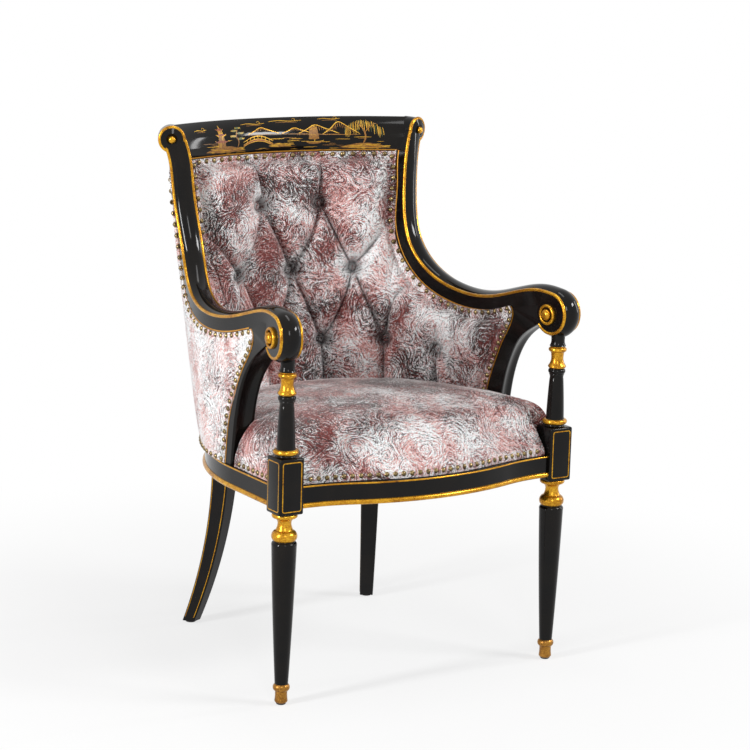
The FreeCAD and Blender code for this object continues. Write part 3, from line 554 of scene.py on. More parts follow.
def grid_faces(rows: int, columns: int, wrap: bool, start: int = 0) -> list[tuple[int, int, int, int]]:
    """Quads of a grid of points stored row by row.

    Args:
        rows: Number of rows.
        columns: Number of points in a row.
        wrap: Whether each row closes on itself.
        start: Number of the first point.

    Returns:
        Vertex numbers of each quad.
    """
    faces = []
    last = columns if wrap else columns - 1
    for r in range(rows - 1):
        for c in range(last):
            a = start + r * columns + c
            b = start + r * columns + (c + 1) % columns
            faces.append((a, b, b + columns, a + columns))
    return faces


def dress(item: Piece, materials: Sequence[Material], rule: Rule | None = None) -> None:
    """Give a piece its materials.

    Args:
        item: The piece.
        materials: Materials in slot order.
        rule: Picks a slot from a face's centre and normal, in millimetres.
    """
    kept = [polygon.material_index for polygon in item.data.polygons]
    item.data.materials.clear()
    for material in materials:
        item.data.materials.append(material)
    item.data.polygons.foreach_set("material_index", kept)
    if rule:
        for polygon in item.data.polygons:
            polygon.material_index = int(rule(polygon.center / MM, polygon.normal))


def settle(item: Piece, nodes: Sequence[str]) -> Piece:
    """Let a finished piece ride on the chair and stand for its CAD nodes.

    Args:
        item: The finished piece.
        nodes: CAD nodes it stands for.

    Returns:
        The piece.
    """
    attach(item, "root")
    if nodes:
        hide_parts(*nodes)
    LOG.info("%s: %d faces", item.name, len(item.data.polygons))
    return item


def finish(item: Piece, materials: Sequence[Material], nodes: Sequence[str],
           degrees: float | None = None, rule: Rule | None = None) -> Piece:
    """Shade, dress and settle a piece.

    Args:
        item: The piece.
        materials: Materials in slot order.
        nodes: CAD nodes it stands for.
        degrees: Angle above which edges stay crisp, where the piece isn't shaded yet.
        rule: Rule as for dress.

    Returns:
        The piece.
    """
    if degrees:
        smooth(item, degrees)
    dress(item, materials, rule)
    return settle(item, nodes)


def lathe(name: str, steps: Sequence[Three], axis: Two,
          turns: int = 56) -> Piece:
    """Turn a half profile about an upright axis.

    Args:
        name: Name of the piece.
        steps: Radius, height and arc rise of each step of the profile.
        axis: Plan place of the axis.
        turns: Facets round the axis.

    Returns:
        The turned piece.
    """
    profile = [(steps[0][0], steps[0][1])]
    for (r0, z0, _), (r1, z1, rise) in zip(steps, steps[1:]):
        profile += arc_points((r0, z0), (r1, z1), rise, 9)
    profile = [(0.0, profile[0][1])] + profile + [(0.0, profile[-1][1])]
    points = np.array([(r, 0.0, z) for r, z in profile])
    item = mesh_object(name, points, (), [(i, i + 1) for i in range(len(points) - 1)])
    edit_all(item)
    bpy.ops.mesh.spin(steps=turns, angle=2 * math.pi, center=(0, 0, 0), axis=(0, 0, 1))
    bpy.ops.mesh.select_all(action="SELECT")
    bpy.ops.mesh.remove_doubles(threshold=0.002 * MM)
    bpy.ops.mesh.normals_make_consistent(inside=False)
    bpy.ops.transform.translate(value=(axis[0] * MM, axis[1] * MM, 0))
    bpy.ops.object.mode_set(mode="OBJECT")
    smooth(item)
    return item


def sweep(name: str, rings: np.ndarray, slots: Sequence[int], caps: bool = True) -> Piece:
    """Skin a row of closed sections.

    Args:
        name: Name of the piece.
        rings: Sections as an array of stations by points by three.
        slots: Material slot of each segment of the section.
        caps: Whether the two ends are closed.

    Returns:
        The skinned piece with its slots set.
    """
    stations, count, _ = rings.shape
    faces: list[Sequence[int]] = list(grid_faces(stations, count, True))
    if caps:
        faces.append(tuple(range(count)))
        faces.append(tuple(range((stations - 1) * count, stations * count)))
    item = mesh_object(name, rings.reshape(-1, 3), faces)
    for number, polygon in enumerate(item.data.polygons):
        polygon.material_index = slots[number % count] if number < (stations - 1) * count else 0
    mend(item)
    return item


def join(items: Sequence[Piece], name: str) -> Piece:
    """Join objects into the first one.

    Args:
        items: Objects to join.
        name: Name of the result.

    Returns:
        The joined object.
    """
    only(*items)
    if len(items) > 1:
        bpy.ops.object.join()
    items[0].name = name
    items[0].data.name = name
    return items[0]


def turned(name: str, steps: Sequence[Three], center: np.ndarray, axis: np.ndarray,
           mirror: bool = False, turns: int = 64) -> Piece:
    """Turned piece set on a slanting axis.

    Args:
        name: Name of the piece.
        steps: Profile steps as for lathe.
        center: Place of the profile's zero height.
        axis: Direction of the profile's height.
        mirror: Whether the piece goes to the right-hand side.
        turns: Facets round the axis.

    Returns:
        The piece.
    """
    item = lathe(name, steps, (0, 0), turns)
    turn = Vector((0, 0, 1)).rotation_difference(Vector(axis)).to_matrix().to_4x4()
    item.data.transform(Matrix.Translation(Vector(center * MM)) @ turn)
    if mirror:
        item.data.transform(Matrix.Diagonal((-1, 1, 1, 1)))
        item.data.flip_normals()
    return item


def glide_pads(name: str, node: str, steps: Sequence[Three], spot: Sequence[float],
               palette: Palette) -> None:
    """Make the nail-on glides under a pair of legs.

    Args:
        name: Name of the piece.
        node: CAD node it stands for.
        steps: Profile steps as for lathe.
        spot: Plan place of the left leg's foot.
        palette: Finishes.
    """
    pads = [lathe("glide", steps, (side * spot[0], spot[1]), 32) for side in (1, -1)]
    finish(join(pads, name), [palette.nylon], [node])


class Curve:
    """Smooth line through points, with given directions at its ends."""

    def __init__(self, points: Sequence[np.ndarray], first: np.ndarray, last: np.ndarray) -> None:
        """Fit a cubic spline on chord length.

        Args:
            points: Points to go through.
            first: Direction at the start.
            last: Direction at the end.
        """
        p = np.array(points, dtype=float)
        steps = np.linalg.norm(np.diff(p, axis=0), axis=1)
        n = len(p)
        matrix = np.zeros((n, n))
        right = np.zeros((n, 3))
        slopes = np.diff(p, axis=0) / steps[:, None]
        matrix[0, 0] = matrix[-1, -1] = 1.0
        right[0] = unit(first)
        right[-1] = unit(last)
        for i in range(1, n - 1):
            matrix[i, i - 1:i + 2] = steps[i], 2 * (steps[i - 1] + steps[i]), steps[i - 1]
            right[i] = 3 * (steps[i] * slopes[i - 1] + steps[i - 1] * slopes[i])
        rates = np.linalg.solve(matrix, right)
        fine = []
        for i in range(n - 1):
            t = np.linspace(0, 1, 60, endpoint=i == n - 2)[:, None]
            fine.append(hermite(t, steps[i], (p[i], p[i + 1]), (rates[i], rates[i + 1])))
        self.fine = np.vstack(fine)
        self.run = run_of(self.fine)
        self.run /= self.run[-1]
        self.tangents = np.gradient(self.fine, self.run, axis=0)

    def at(self, share: float) -> Arrays:
        """Place and direction at a share of the length."""
        return read(share, self.run, self.fine), unit(read(share, self.run, self.tangents))


@dataclass
class Plan:
    """Sizes shared by the sub-assemblies, in millimetres and degrees."""

    leg_x: float = 272.0
    leg_y: float = -240.0
    block: float = 46.0
    block_low: float = 332.0
    block_high: float = 428.0
    rail_low: float = 340.0
    rail_high: float = 378.0
    rail_thick: float = 22.0
    side_x: float = 290.0
    tub_y: float = -90.0
    side_radius: float = 400.0
    rear_y: float = 251.0
    front_end_y: float = -256.0
    front_bow: float = 41.0
    front_half: float = 249.0
    bow_share: float = 0.62
    crest_face_y: float = 264.5
    crest_radius: float = 516.0
    crest_thick: float = 30.0
    crest_top: float = 926.0
    crest_border: float = 864.0
    crest_back_border: float = 850.0
    crest_half: float = 27.0
    cover_proud: float = 5.0
    cover_bulge: float = 6.0

    def __post_init__(self) -> None:
        """Work out the tub's arcs."""
        self.side_center = vec(self.side_x - self.side_radius, self.tub_y, 0)
        spare = self.side_radius - self.rear_y
        center_y = (self.side_center[0] ** 2 + self.tub_y ** 2 - spare ** 2) / (2 * (spare + self.tub_y))
        self.rear_center = vec(0, center_y, 0)
        self.rear_radius = self.rear_y - center_y
        self.joint_angle = math.degrees(math.atan2(center_y - self.tub_y, -self.side_center[0]))
        self.joint_out = heading(self.joint_angle)
        self.joint = self.side_center + self.joint_out * self.side_radius
        self.crest_center = vec(0, self.crest_face_y - self.crest_radius, 0)

    def side_point(self, y: float, inset: float) -> Arrays:
        """Point and outward normal of the left side plan at one depth."""
        run = max(0.0, y - self.tub_y)
        x = self.side_center[0] + math.sqrt((self.side_radius - inset) ** 2 - run ** 2)
        return vec(x, y, 0), unit(vec(math.sqrt(self.side_radius ** 2 - run ** 2), run, 0))

    def tub_outline(self, steps: int) -> Arrays:
        """Rail face line from the left block round the back to the right block, with outward normals."""
        places = []
        normals = []
        for y in np.linspace(self.leg_y + self.block / 2, self.tub_y, 6)[:-1]:
            places.append(vec(self.side_x, y, 0))
            normals.append(vec(1, 0, 0))
        for angle in np.linspace(0, self.joint_angle, steps // 3)[:-1]:
            places.append(self.side_center + heading(angle) * self.side_radius)
            normals.append(heading(angle))
        for angle in np.linspace(self.joint_angle, 90, steps // 2):
            places.append(self.rear_center + heading(angle) * self.rear_radius)
            normals.append(heading(angle))
        return halves(np.array(places)), halves(np.array(normals))

    def front_outline(self, steps: int) -> Arrays:
        """Rail face line of the serpentine front from left to right, with outward normals."""
        slope = 2 * math.atan(self.front_bow / self.front_half)
        turn_x = self.front_half * self.bow_share
        radius = turn_x / math.sin(slope)
        back = (self.front_half - turn_x) / math.sin(slope)
        center = vec(0, self.front_end_y - self.front_bow + radius, 0)
        end = vec(self.front_half, self.front_end_y - back, 0)
        degrees = math.degrees(slope)
        places = []
        normals = []
        for angle in np.linspace(90, 90 + degrees, steps // 3)[:-1]:
            places.append(end + heading(angle) * back)
            normals.append(-heading(angle))
        for angle in np.linspace(-90 + degrees, -90, steps // 2):
            places.append(center + heading(angle) * radius)
            normals.append(heading(angle))
        return halves(np.array(places)), halves(np.array(normals))


class TubArc:
    """Arc of the tub's outside at one height."""

    def __init__(self, plan: Plan, z: float) -> None:
        """Fit the arc between the rail and the crest.

        Args:
            plan: Shared sizes.
            z: Height.
        """
        share = (z - plan.rail_high) / (plan.crest_back_border - plan.rail_high)
        low_end = plan.joint + plan.joint_out * plan.cover_proud
        outer = plan.crest_radius + plan.crest_thick
        high_end = plan.crest_center + heading(90 - plan.crest_half) * outer
        end = low_end * (1 - share) + high_end * share
        mid_y = (plan.rear_y + plan.cover_proud) * (1 - share) + (plan.crest_center[1] + outer) * share
        rise = mid_y - end[1]
        radius = (end[0] ** 2 + rise ** 2) / (2 * rise)
        self.center = vec(0, mid_y - radius, z)
        self.half = math.degrees(math.atan2(end[0], end[1] - self.center[1]))
        self.radius = radius + plan.cover_bulge * 4 * share * (1 - share)

    def at(self, angle: float, inset: float) -> np.ndarray:
        """Point at an angle from the middle, set in from the outside."""
        return self.center + heading(90 - angle) * (self.radius - inset)


@dataclass
class FrontLegs:
    """Turned front legs with blocks, brass foot caps, glides and painted frame lines."""

    plan: Plan
    foot_radius: float = 11.4
    top_radius: float = 21.4
    cap_high: float = 36.0
    line_inset: float = 4.6
    line_wide: float = 1.7
    line_corner: float = 4.5
    line_lift: float = 0.12
    arris: float = 3.2
    gilt_from: float = 47.5

    def build(self, palette: Palette) -> None:
        """Make both legs and dress them."""
        for side, word in ((1, "left"), (-1, "right")):
            self._leg(side, word, palette)
            self._cap(side, word, palette)
        glide_pads("front_glide_pads", "front_glides", [(6.8, 0.0, 0), (8.6, 3.2, 0.6)],
                   (self.plan.leg_x, self.plan.leg_y), palette)

    def _leg(self, side: int, word: str, palette: Palette) -> None:
        """Make one leg with its block and painted lines."""
        plan = self.plan
        z = plan.block_low
        top = self.top_radius
        axis = (side * plan.leg_x, plan.leg_y)
        shaft = lathe("leg", [
            (self.foot_radius, self.cap_high - 1, 0), (top, z - 55, 0.8), (top - 2.8, z - 48.5, 1.2),
            (top - 2.8, z - 47, 0), (top - 6.4, z - 29, 5.0), (top - 9.8, z - 18, -0.6),
            (top - 4.9, z - 8, -1.5), (top - 4.9, z + 0.5, 5.5)], axis)
        dress(shaft, palette.frame, lambda c, n: Coat.GILT if c.z > z - self.gilt_from else Coat.LACQUER)
        bpy.ops.object.select_all(action="DESELECT")
        tall = plan.block_high - plan.block_low
        middle = vec(axis[0], axis[1], (plan.block_low + plan.block_high) / 2)
        bpy.ops.mesh.primitive_cube_add(size=1, location=(0, 0, 0))
        block = bpy.context.object
        block.scale = (plan.block * MM, plan.block * MM, tall * MM)
        block.location = tuple(middle * MM)
        bpy.ops.object.transform_apply(location=True, rotation=True, scale=True)
        bevel = block.modifiers.new("eased arrises", "BEVEL")
        bevel.width = self.arris * MM
        bevel.segments = 4
        apply_modifiers(block)
        smooth(block, 40)
        dress(block, palette.frame)
        lines = []
        reach = plan.block / 2 - self.line_inset
        high = tall / 2 - self.line_inset - 1
        corners = [(-reach, -high), (reach, -high), (reach, high), (-reach, high)]
        for normal in (vec(0, -1, 0), vec(side, 0, 0)):
            across = np.cross(UP, normal)
            face = middle + normal * (plan.block / 2 + self.line_lift)
            lines.append(frame_line("line", [face + across * u + UP * v for u, v in corners], normal,
                                    self.line_wide, self.line_corner))
            dress(lines[-1], palette.frame, lambda c, n: Coat.GILT)
        leg = join([shaft, block] + lines, f"front_leg_turned_{word}")
        settle(leg, [f"front_leg_{word}"])

    def _cap(self, side: int, word: str, palette: Palette) -> None:
        """Make one brass foot cap."""
        r = self.foot_radius
        high = self.cap_high
        cap = lathe("cap", [(r - 2.4, 3.2, 0), (r - 0.2, 7.0, 0.6), (r - 1.0, high - 14, -0.4),
                            (r - 0.8, high - 12.5, 0), (r + 0.2, high, 3.4)],
                    (side * self.plan.leg_x, self.plan.leg_y))
        cap.name = f"foot_cap_{word}"
        finish(cap, [palette.brass], [f"front_foot_cap_{word}"])


def frame_line(name: str, corners: Sequence[np.ndarray], normal: np.ndarray, wide: float,
               radius: float) -> Piece:
    """Painted line round a flat rectangle with rounded corners.

    Args:
        name: Name of the piece.
        corners: Outer corners in order.
        normal: Outward normal of the face.
        wide: Width of the line.
        radius: Radius of its outer corners.

    Returns:
        The band.
    """
    loops = [[], []]
    for i, corner in enumerate(corners):
        back, ahead = unit(corners[i - 1] - corner), unit(corners[(i + 1) % 4] - corner)
        center = corner + (back + ahead) * radius
        for turn in np.radians(np.linspace(0, 90, 7)):
            away = -ahead * math.cos(turn) - back * math.sin(turn)
            for loop, size in zip(loops, (radius, radius - wide)):
                loop.append(center + away * size)
    count = len(loops[0])
    faces = [(i, (i + 1) % count, count + (i + 1) % count, count + i) for i in range(count)]
    item = mesh_object(name, np.array(loops[0] + loops[1]), faces)
    face_towards(item, normal)
    return item


def face_towards(item: Piece, normal: np.ndarray) -> None:
    """Turn all faces of a flat band towards a direction."""
    aim = Vector(normal)
    if sum(p.normal.dot(aim) for p in item.data.polygons) < 0:
        item.data.flip_normals()


def ribbon(name: str, middle: np.ndarray, across: np.ndarray, normals: np.ndarray, wide: float,
           lift: float = 0.12) -> Piece:
    """Painted line along a curve, lying on a surface.

    Args:
        name: Name of the piece.
        middle: Points of the line on the surface.
        across: Unit vectors across the line, in the surface.
        normals: Outward normals of the surface.
        wide: Width of the line.
        lift: Height over the surface.

    Returns:
        The line as a thin band.
    """
    base = middle + normals * lift
    rows = np.stack([base - across * wide / 2, base + normals * lift * 0.6, base + across * wide / 2], axis=1)
    item = mesh_object(name, rows.reshape(-1, 3), grid_faces(len(rows), 3, False))
    outs = [Vector(normals[min(i // 2, len(normals) - 1)]) for i in range(len(item.data.polygons))]
    if sum(polygon.normal.dot(out) for polygon, out in zip(item.data.polygons, outs)) < 0:
        item.data.flip_normals()
    return item


@dataclass
class ArmPosts:
    """Turned balusters between the blocks and the arm scrolls."""

    plan: Plan
    top: float = 602.0

    def build(self, palette: Palette) -> None:
        """Make both posts and dress them."""
        z = self.plan.block_high
        for side, word in ((1, "left"), (-1, "right")):
            post = lathe("post", [
                (19.0, z, 0), (16.8, z + 4, -0.8), (16.8, z + 13, 5.0), (15.8, z + 14, 0),
                (12.4, z + 84, 0.4), (13.4, z + 93, -0.9), (13.0, z + 94, 0), (13.0, z + 103, 2.2),
                (12.9, z + 103.6, 0), (15.6, z + 108, 1.2), (11.2, z + 127, -2.2),
                (12.4, z + 132.5, -0.4), (12.4, z + 141, 3.5), (12.6, z + 142, 0),
                (14.4, z + 143.4, 0.3), (12.0, z + 155, -1.0), (12.3, self.top, 0)],
                (side * self.plan.leg_x, self.plan.leg_y))
            gilt = ((z + 4, z + 13.3), (z + 103.4, z + 141.5))
            post.name = f"arm_post_turned_{word}"
            finish(post, palette.frame, [f"arm_post_{word}"],
                   rule=lambda c, n: Coat.GILT if any(a < c.z < b for a, b in gilt) else Coat.LACQUER)


@dataclass
class RearLegs:
    """Square sabre legs with gilt lines along their arrises."""

    plan: Plan
    foot: Two = (191.0, 242.0)
    sweep_back: float = 70.0
    toe_out: float = 30.0
    top_side: float = 37.0
    foot_side: float = 25.0
    line_inset: float = 3.5
    line_wide: float = 1.4
    arris: float = 2.0

    def center_at(self, z: float) -> tuple[np.ndarray, float]:
        """Centre and side of the section at one height."""
        share = 1 - z / self.plan.rail_low
        back = heading(90 - self.toe_out) * self.sweep_back * (1 - share ** 2)
        side = self.top_side + (self.foot_side - self.top_side) * (1 - (z - 3) / (self.plan.rail_low - 3))
        return vec(self.foot[0], self.foot[1], z) - back, side

    def build(self, palette: Palette) -> None:
        """Make both legs, their lines and glides."""
        ahead = heading(90 - self.toe_out)
        beside = heading(-self.toe_out)
        levels = np.linspace(3, self.plan.rail_low, 40)
        cut = self.arris
        corners = ((-1, -1, cut, 0), (-1, -1, 0, cut), (-1, 1, cut, 0), (-1, 1, 0, -cut),
                   (1, 1, -cut, 0), (1, 1, 0, -cut), (1, -1, -cut, 0), (1, -1, 0, cut))
        rings = []
        for z in levels:
            center, side = self.center_at(z)
            rings.append([center + ahead * (a * side / 2 + da) + beside * (b * side / 2 + db)
                          for a, b, da, db in corners])
        rings = np.array(rings)
        for mirror, word in SIDES:
            body = sweep("leg", sided(rings, mirror), [0] * 8)
            smooth(body, 25)
            dress(body, palette.frame)
            bands = []
            for normal, along in ((beside, ahead), (ahead, beside), (-beside, ahead)):
                for edge in (-1, 1):
                    middle = []
                    for z in levels[1:-1]:
                        center, side = self.center_at(z)
                        aside = edge * (side / 2 - self.line_inset)
                        middle.append(center + normal * side / 2 + along * aside)
                    sides, outs = (np.tile(line, (len(middle), 1)) for line in (along, normal))
                    path, sides, outs = (sided(rows, mirror) for rows in (np.array(middle), sides, outs))
                    bands.append(ribbon("line", path, sides, outs, self.line_wide))
                    dress(bands[-1], palette.frame, lambda c, n: Coat.GILT)
            leg = join([body] + bands, f"sabre_leg_{word}")
            settle(leg, [f"rear_leg_{word}"])
        glide_pads("rear_glide_pads", "rear_glides", [(8.8, 0.0, 0), (10.0, 3.1, 0.5)], self.foot, palette)


@dataclass
class SeatRails:
    """Moulded rails: gilt bottom bead, flat lacquer face and thin gilt lip."""

    plan: Plan
    bead: float = 4.5
    bead_proud: float = 4.0
    lip: float = 3.0
    lip_proud: float = 1.3

    def section(self) -> tuple[list[Two], list[int]]:
        """Section as outward distance and height, with the slot of each segment."""
        low = self.plan.rail_low
        high = self.plan.rail_high
        points = [(0.0, low)]
        slots = []
        for x, z in arc_points((low, 0.0), (low + 2 * self.bead, 0.0), -self.bead_proud, 10):
            points.append((z, x))
            slots.append(Coat.GILT)
        points.append((0.0, high - self.lip))
        slots.append(Coat.LACQUER)
        for x, z in arc_points((high - self.lip, 0.0), (high, 0.0), -self.lip_proud, 6):
            points.append((z, x))
            slots.append(Coat.GILT)
        points += [(-self.plan.rail_thick, high), (-self.plan.rail_thick, low)]
        slots += [Coat.LACQUER, Coat.LACQUER, Coat.LACQUER]
        return points, slots

    def build(self, palette: Palette) -> None:
        """Make the front rail and the rail round the tub."""
        runs = {"front_rail": (self.plan.front_outline(72), ["front_seat_rail"]),
                "tub_rail": (self.plan.tub_outline(72), ["side_seat_rail_left", "side_seat_rail_right",
                                                         "rear_seat_rail"])}
        points, slots = self.section()
        for name, ((places, normals), nodes) in runs.items():
            rings = np.array([[p + n * d + UP * z for d, z in points] for p, n in zip(places, normals)])
            finish(sweep(name, rings, slots), palette.frame, nodes, 28)


@dataclass
class EdgeLine:
    """Centre line of the moulded edge from the stile head to the arm scroll, with its axes."""

    plan: Plan
    half: float = 17.5
    bead: float = 3.0
    bead_end: float = 236.0
    crown: float = 9.0
    depth: float = 27.0
    stile_toe: float = 24.0
    scroll_toe: float = 8.0
    scroll_in: Three = (3.5, 9.0, 627.5)
    scroll_radius: float = 35.0
    scroll_lead: float = 8.0
    head_radius: float = 21.5
    elbow_y: float = 146.0

    def __post_init__(self) -> None:
        """Set the line out from the plan's sizes."""
        plan = self.plan
        self.cheek = self.half - self.bead * math.cos(math.radians(self.bead_end))
        self.scroll_center = vec(plan.leg_x, plan.leg_y, 0) + vec(*self.scroll_in)
        head_z = plan.crest_top - self.head_radius - self.bead
        lead = math.radians(self.scroll_lead)
        forward = heading(self.scroll_toe - 90)
        normal = UP * math.cos(lead) + forward * math.sin(lead)
        along = forward * math.cos(lead) - UP * math.sin(lead)
        self.rosette_center = self.scroll_center - forward * 5.0 - UP * 2.0
        self.curve = Curve([
            vec(253, 210, head_z + 2), vec(246.3, 207, head_z - 20), vec(237.4, 201.3, 810),
            vec(231.9, 185.4, 737), vec(233, 169.5, 700), vec(245.7, 122, 651.5),
            vec(261, 45, 627), vec(266, -62, 632.5), vec(267.5, -149, 655.5),
            vec(271.5, -200, 664.6), self.scroll_center + normal * self.scroll_radius],
            vec(-0.3, -0.1, -1), along)

    def station(self, share: float) -> tuple[np.ndarray, np.ndarray, np.ndarray, np.ndarray]:
        """Place, direction, width and face normal at a share of the line."""
        place, along = self.curve.at(share)
        wide = heading(self.stile_toe + (self.scroll_toe - self.stile_toe) * share)
        wide = unit(wide - along * wide.dot(along))
        return place, along, wide, np.cross(along, wide)

    def share_at_y(self, y: float) -> float:
        """Share at which the arm passes one depth."""
        low, high = 0.3, 1.0
        for _ in range(40):
            middle = (low + high) / 2
            if self.curve.at(middle)[0][1] > y:
                low = middle
            else:
                high = middle
        return low

    def share_at_z(self, z: float) -> float:
        """Share at which the stile passes one height."""
        shares = np.linspace(0.02, 0.4, 400)
        heights = np.array([self.curve.at(share)[0][2] for share in shares])
        return float(np.interp(-z, -heights, shares))

    def section(self) -> tuple[list[Two], list[int]]:
        """Section as width and height over the face, with the slot of each segment."""
        points = [(-self.cheek, -self.depth)]
        slots = []
        for angle in np.linspace(self.bead_end, 60, 12):
            a = math.radians(angle)
            points.append((-self.half + self.bead * math.cos(a), self.bead * math.sin(a)))
            slots.append(Coat.GILT)
        slots[0] = Coat.LACQUER
        w, n = points[-1]
        for x, y in arc_points((w, n), (-w, n), -(self.crown - n), 16):
            points.append((x, y))
            slots.append(Coat.LACQUER)
        for angle in np.linspace(120, -56, 12)[1:]:
            a = math.radians(angle)
            points.append((self.half + self.bead * math.cos(a), self.bead * math.sin(a)))
            slots.append(Coat.GILT)
        points.append((self.cheek, -self.depth))
        slots += [Coat.LACQUER, Coat.LACQUER]
        return points, slots


@dataclass
class ArmFrames:
    """Stiles and arms: one moulded edge from the crest head to the rolled scroll, with rosettes."""

    plan: Plan
    edge: EdgeLine
    scroll_turn: float = 223.0
    core: float = 32.0
    head_shift: float = 4.0
    start: float = 0.012
    flat: float = 0.65
    flat_run: float = 0.07
    eye_lift: float = 3.6
    eye: tuple[Three, ...] = ((5.2, 0, 0), (6.3, 2.4, 0.4), (0.4, 7.4, 2.1))
    rosette: tuple[Three, ...] = (
        (18.4, -0.3, 0), (18.4, 2.2, 0), (13.0, 2.2, 2.9), (12.4, 0.7, 0), (10.3, 0.7, 0), (9.9, 2.6, 0),
        (0.4, 9.8, 3.2))
    groove: Two = (10.0, 12.9)
    groove_top: float = 2.0

    def build(self, palette: Palette) -> None:
        """Make both sides and dress them."""
        edge = self.edge
        points, slots = edge.section()
        rings = []
        for share in np.linspace(self.start, 1.0, 130):
            place, _, wide, face = edge.station(share)
            flat = self.flat * max(0.0, 1 - (share - self.start) / self.flat_run)
            rings.append([place + wide * w + face * (n - flat * max(0.0, n - edge.bead)) for w, n in points])
        last = np.array(rings[-1])
        center = edge.scroll_center
        for angle in np.linspace(0, self.scroll_turn, 64)[1:]:
            turn = np.array(Matrix.Rotation(math.radians(angle), 3, Vector(wide)))
            rings.append((last - center) @ turn.T + center)
        rings = np.array(rings)
        half = edge.cheek + 0.05
        for mirror, word in SIDES:
            bar = sweep("arm", sided(rings, mirror), slots)
            smooth(bar, 30)
            core = turned("core", [(self.core, -half, 0), (self.core, half, 0)], center, wide, mirror)
            for item in (bar, core):
                dress(item, palette.frame)
            arm = join([bar, core, self._head(mirror, palette)], f"arm_and_stile_{word}")
            settle(arm, [f"arm_{word}", f"back_stile_{word}"])
            self._rosettes(mirror, word, wide, palette)
        self._buttons(palette)

    def _head(self, mirror: bool, palette: Palette) -> Piece:
        """Scroll head of the stile with a gilt bead most of the way round."""
        edge = self.edge
        place, along, wide, face = edge.station(0.0)
        center = place + wide * self.head_shift
        wall = edge.head_radius + edge.cheek - edge.half
        profile = [(wall, -edge.depth, 0.0), (wall, -3.0, 0.0)]
        for angle in np.linspace(-56, 120, 12):
            a = math.radians(angle)
            profile.append((edge.head_radius + edge.bead * math.cos(a), edge.bead * math.sin(a), 0.0))
        profile += [(11.0, 5.4, 0.0), (9.0, 4.6, 0.0), (7.2, 3.8, 0.0), (0.5, 3.6, 0.0)]
        head = turned("head", profile, center, face, mirror)
        middle, sides, downs, outs = (sided(line, mirror) for line in (center, wide, along, face))

        def rule(c: Vector, n: Vector) -> int:
            """Gild the bead, but not where the stile runs into the head."""
            away = np.array(c) - middle
            level = abs(away.dot(outs))
            across, down = away.dot(sides), away.dot(downs)
            ring = math.hypot(across, down) > edge.head_radius - edge.bead * 0.7
            turn = math.degrees(math.atan2(down, across))
            return Coat.GILT if ring and level < 4.2 and not 48 < turn < 152 else Coat.LACQUER

        dress(head, palette.frame, rule)
        return head

    def _rosettes(self, mirror: bool, word: str, wide: np.ndarray, palette: Palette) -> None:
        """Turned gilt rosettes on both cheeks of one scroll."""
        pieces = []
        near, far = self.groove
        for out in (wide, -wide):
            center = self.edge.rosette_center + out * (self.edge.cheek + 0.4)
            item = turned("rosette", self.rosette, center, out, mirror)
            base, axis = Vector(sided(center, mirror)), Vector(sided(out, mirror))
            dress(item, palette.frame, lambda c, n: Coat.LACQUER if near < (c - base).length < far
                  and (c - base).dot(axis) < self.groove_top else Coat.GILT)
            pieces.append(item)
        rosettes = join(pieces, f"scroll_rosette_pair_{word}")
        settle(rosettes, [f"scroll_rosettes_{word}"])

    def _buttons(self, palette: Palette) -> None:
        """Gilt buttons in the eyes of the stile heads."""
        place, _, wide, face = self.edge.station(0.0)
        center = place + wide * self.head_shift + face * self.eye_lift
        pair = [turned("eye", self.eye, center, face, mirror) for mirror, _ in SIDES]
        finish(join(pair, "crest_eye_buttons"), [palette.gilt], ["crest_buttons"])


